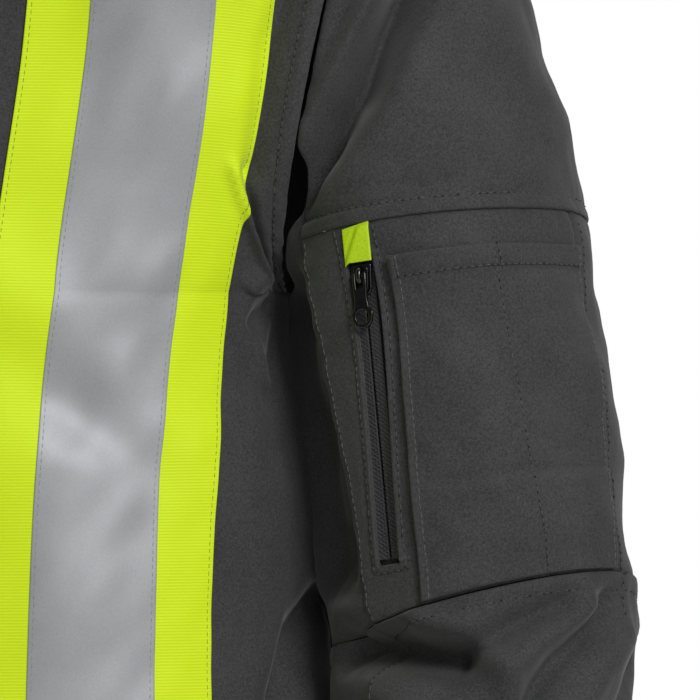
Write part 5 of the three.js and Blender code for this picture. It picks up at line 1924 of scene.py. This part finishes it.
# ---- The add-on ----
class CoatSettings(bpy.types.PropertyGroup):
    softshell_colour: bpy.props.FloatVectorProperty(
        name="Softshell colour", description="Colour of the coat's outer face", subtype="COLOR", size=4,
        default=linear("#3a3a3b"), min=0, max=1,
    )
    fine_grid: bpy.props.FloatProperty(
        name="Fine grid", description="Grid spacing of the cloth on the left sleeve and the left chest",
        default=0.002, min=0.001, max=0.01, subtype="DISTANCE", unit="LENGTH",
    )
    coarse_grid: bpy.props.FloatProperty(
        name="Coarse grid", description="Grid spacing of the other cloth", default=0.0045, min=0.002,
        max=0.02,
        subtype="DISTANCE", unit="LENGTH",
    )
    stitch_pitch: bpy.props.FloatProperty(
        name="Stitch spacing", description="Distance from one topstitch to the next", default=0.0032,
        min=0.001, max=0.01,
        subtype="DISTANCE", unit="LENGTH",
    )
    stitch_length: bpy.props.FloatProperty(
        name="Stitch length", description="Visible length of one topstitch", default=0.0026, min=0.0005,
        max=0.009,
        subtype="DISTANCE", unit="LENGTH",
    )
    rib_pitch: bpy.props.FloatProperty(
        name="Rib spacing", description="Distance between the ribs of the fluorescent bands", default=0.0012,
        min=0.0003, max=0.01, subtype="DISTANCE", unit="LENGTH",
    )
    room_light: bpy.props.FloatProperty(
        name="Room light", description="Brightness of the white room around the coat", default=0.09, min=0,
        max=10,
    )
    key_power: bpy.props.FloatProperty(
        name="Main light", description="Power of the main studio light", default=45, min=0, max=1000,
        unit="POWER",
    )


class COAT_OT_materials(bpy.types.Operator):
    """Make the coat's materials"""
    bl_idname = "coat.materials"
    bl_label = "Materials"

    def execute(self, context):
        make_materials(context.scene.coat)
        return {"FINISHED"}


class COAT_OT_stage(bpy.types.Operator):
    """Set up the camera, the floor and the studio light"""
    bl_idname = "coat.stage"
    bl_label = "Stage"

    def execute(self, context):
        build_stage(context.scene.coat)
        return {"FINISHED"}


class COAT_OT_sleeves(bpy.types.Operator):
    """Sew the sleeves with their cuffs and tabs"""
    bl_idname = "coat.sleeves"
    bl_label = "Sleeves and cuffs"

    def execute(self, context):
        build_sleeves(context.scene.coat)
        return {"FINISHED"}


class COAT_OT_sleeve_pocket(bpy.types.Operator):
    """Sew the left sleeve's pocket panel, pen pocket, bag and zip garage"""
    bl_idname = "coat.sleeve_pocket"
    bl_label = "Sleeve pocket"

    def execute(self, context):
        build_sleeve_pocket(context.scene.coat)
        return {"FINISHED"}


class COAT_OT_front(bpy.types.Operator):
    """Sew the front panels with their hand pockets"""
    bl_idname = "coat.front"
    bl_label = "Front panels"

    def execute(self, context):
        build_front(context.scene.coat)
        return {"FINISHED"}


class COAT_OT_back(bpy.types.Operator):
    """Sew the back panel"""
    bl_idname = "coat.back"
    bl_label = "Back panel"

    def execute(self, context):
        build_back(context.scene.coat)
        return {"FINISHED"}


class COAT_OT_bands(bpy.types.Operator):
    """Sew on the fluorescent bands and the reflective tape"""
    bl_idname = "coat.bands"
    bl_label = "Bands and tape"

    def execute(self, context):
        build_bands(context.scene.coat)
        return {"FINISHED"}


class COAT_OT_collar(bpy.types.Operator):
    """Sew the collar, the storm flap and the hanger loop"""
    bl_idname = "coat.collar"
    bl_label = "Collar, flap and loop"

    def execute(self, context):
        build_collar(context.scene.coat)
        return {"FINISHED"}


class COAT_OT_zips(bpy.types.Operator):
    """Fit the zips with their coils, sliders and pulls"""
    bl_idname = "coat.zips"
    bl_label = "Zips"

    def execute(self, context):
        build_zips(context.scene.coat)
        return {"FINISHED"}


OPERATORS = (
    COAT_OT_materials, COAT_OT_stage, COAT_OT_sleeves, COAT_OT_sleeve_pocket, COAT_OT_front, COAT_OT_back,
    COAT_OT_bands,
    COAT_OT_collar, COAT_OT_zips,
)


class COAT_PT_panel(bpy.types.Panel):
    """Lists the coat's settings and the steps that build it"""
    bl_label = "Work coat"
    bl_idname = "COAT_PT_panel"
    bl_space_type = "VIEW_3D"
    bl_region_type = "UI"
    bl_category = "Coat"

    def draw(self, context):
        for name in CoatSettings.__annotations__:
            self.layout.prop(context.scene.coat, name)
        for operator in OPERATORS:
            self.layout.operator(operator.bl_idname)


def register():
    for made in (CoatSettings, *OPERATORS, COAT_PT_panel):
        bpy.utils.register_class(made)
    bpy.types.Scene.coat = bpy.props.PointerProperty(type=CoatSettings)


def unregister():
    del bpy.types.Scene.coat
    for made in (COAT_PT_panel, *reversed(OPERATORS), CoatSettings):
        bpy.utils.unregister_class(made)


def main():
    register()
    bpy.ops.coat.materials()
    bpy.ops.coat.stage()
    bpy.ops.coat.sleeves()
    bpy.ops.coat.sleeve_pocket()
    bpy.ops.coat.front()
    bpy.ops.coat.back()
    bpy.ops.coat.bands()
    bpy.ops.coat.collar()
    bpy.ops.coat.zips()


if __name__ == "__main__":
    main()
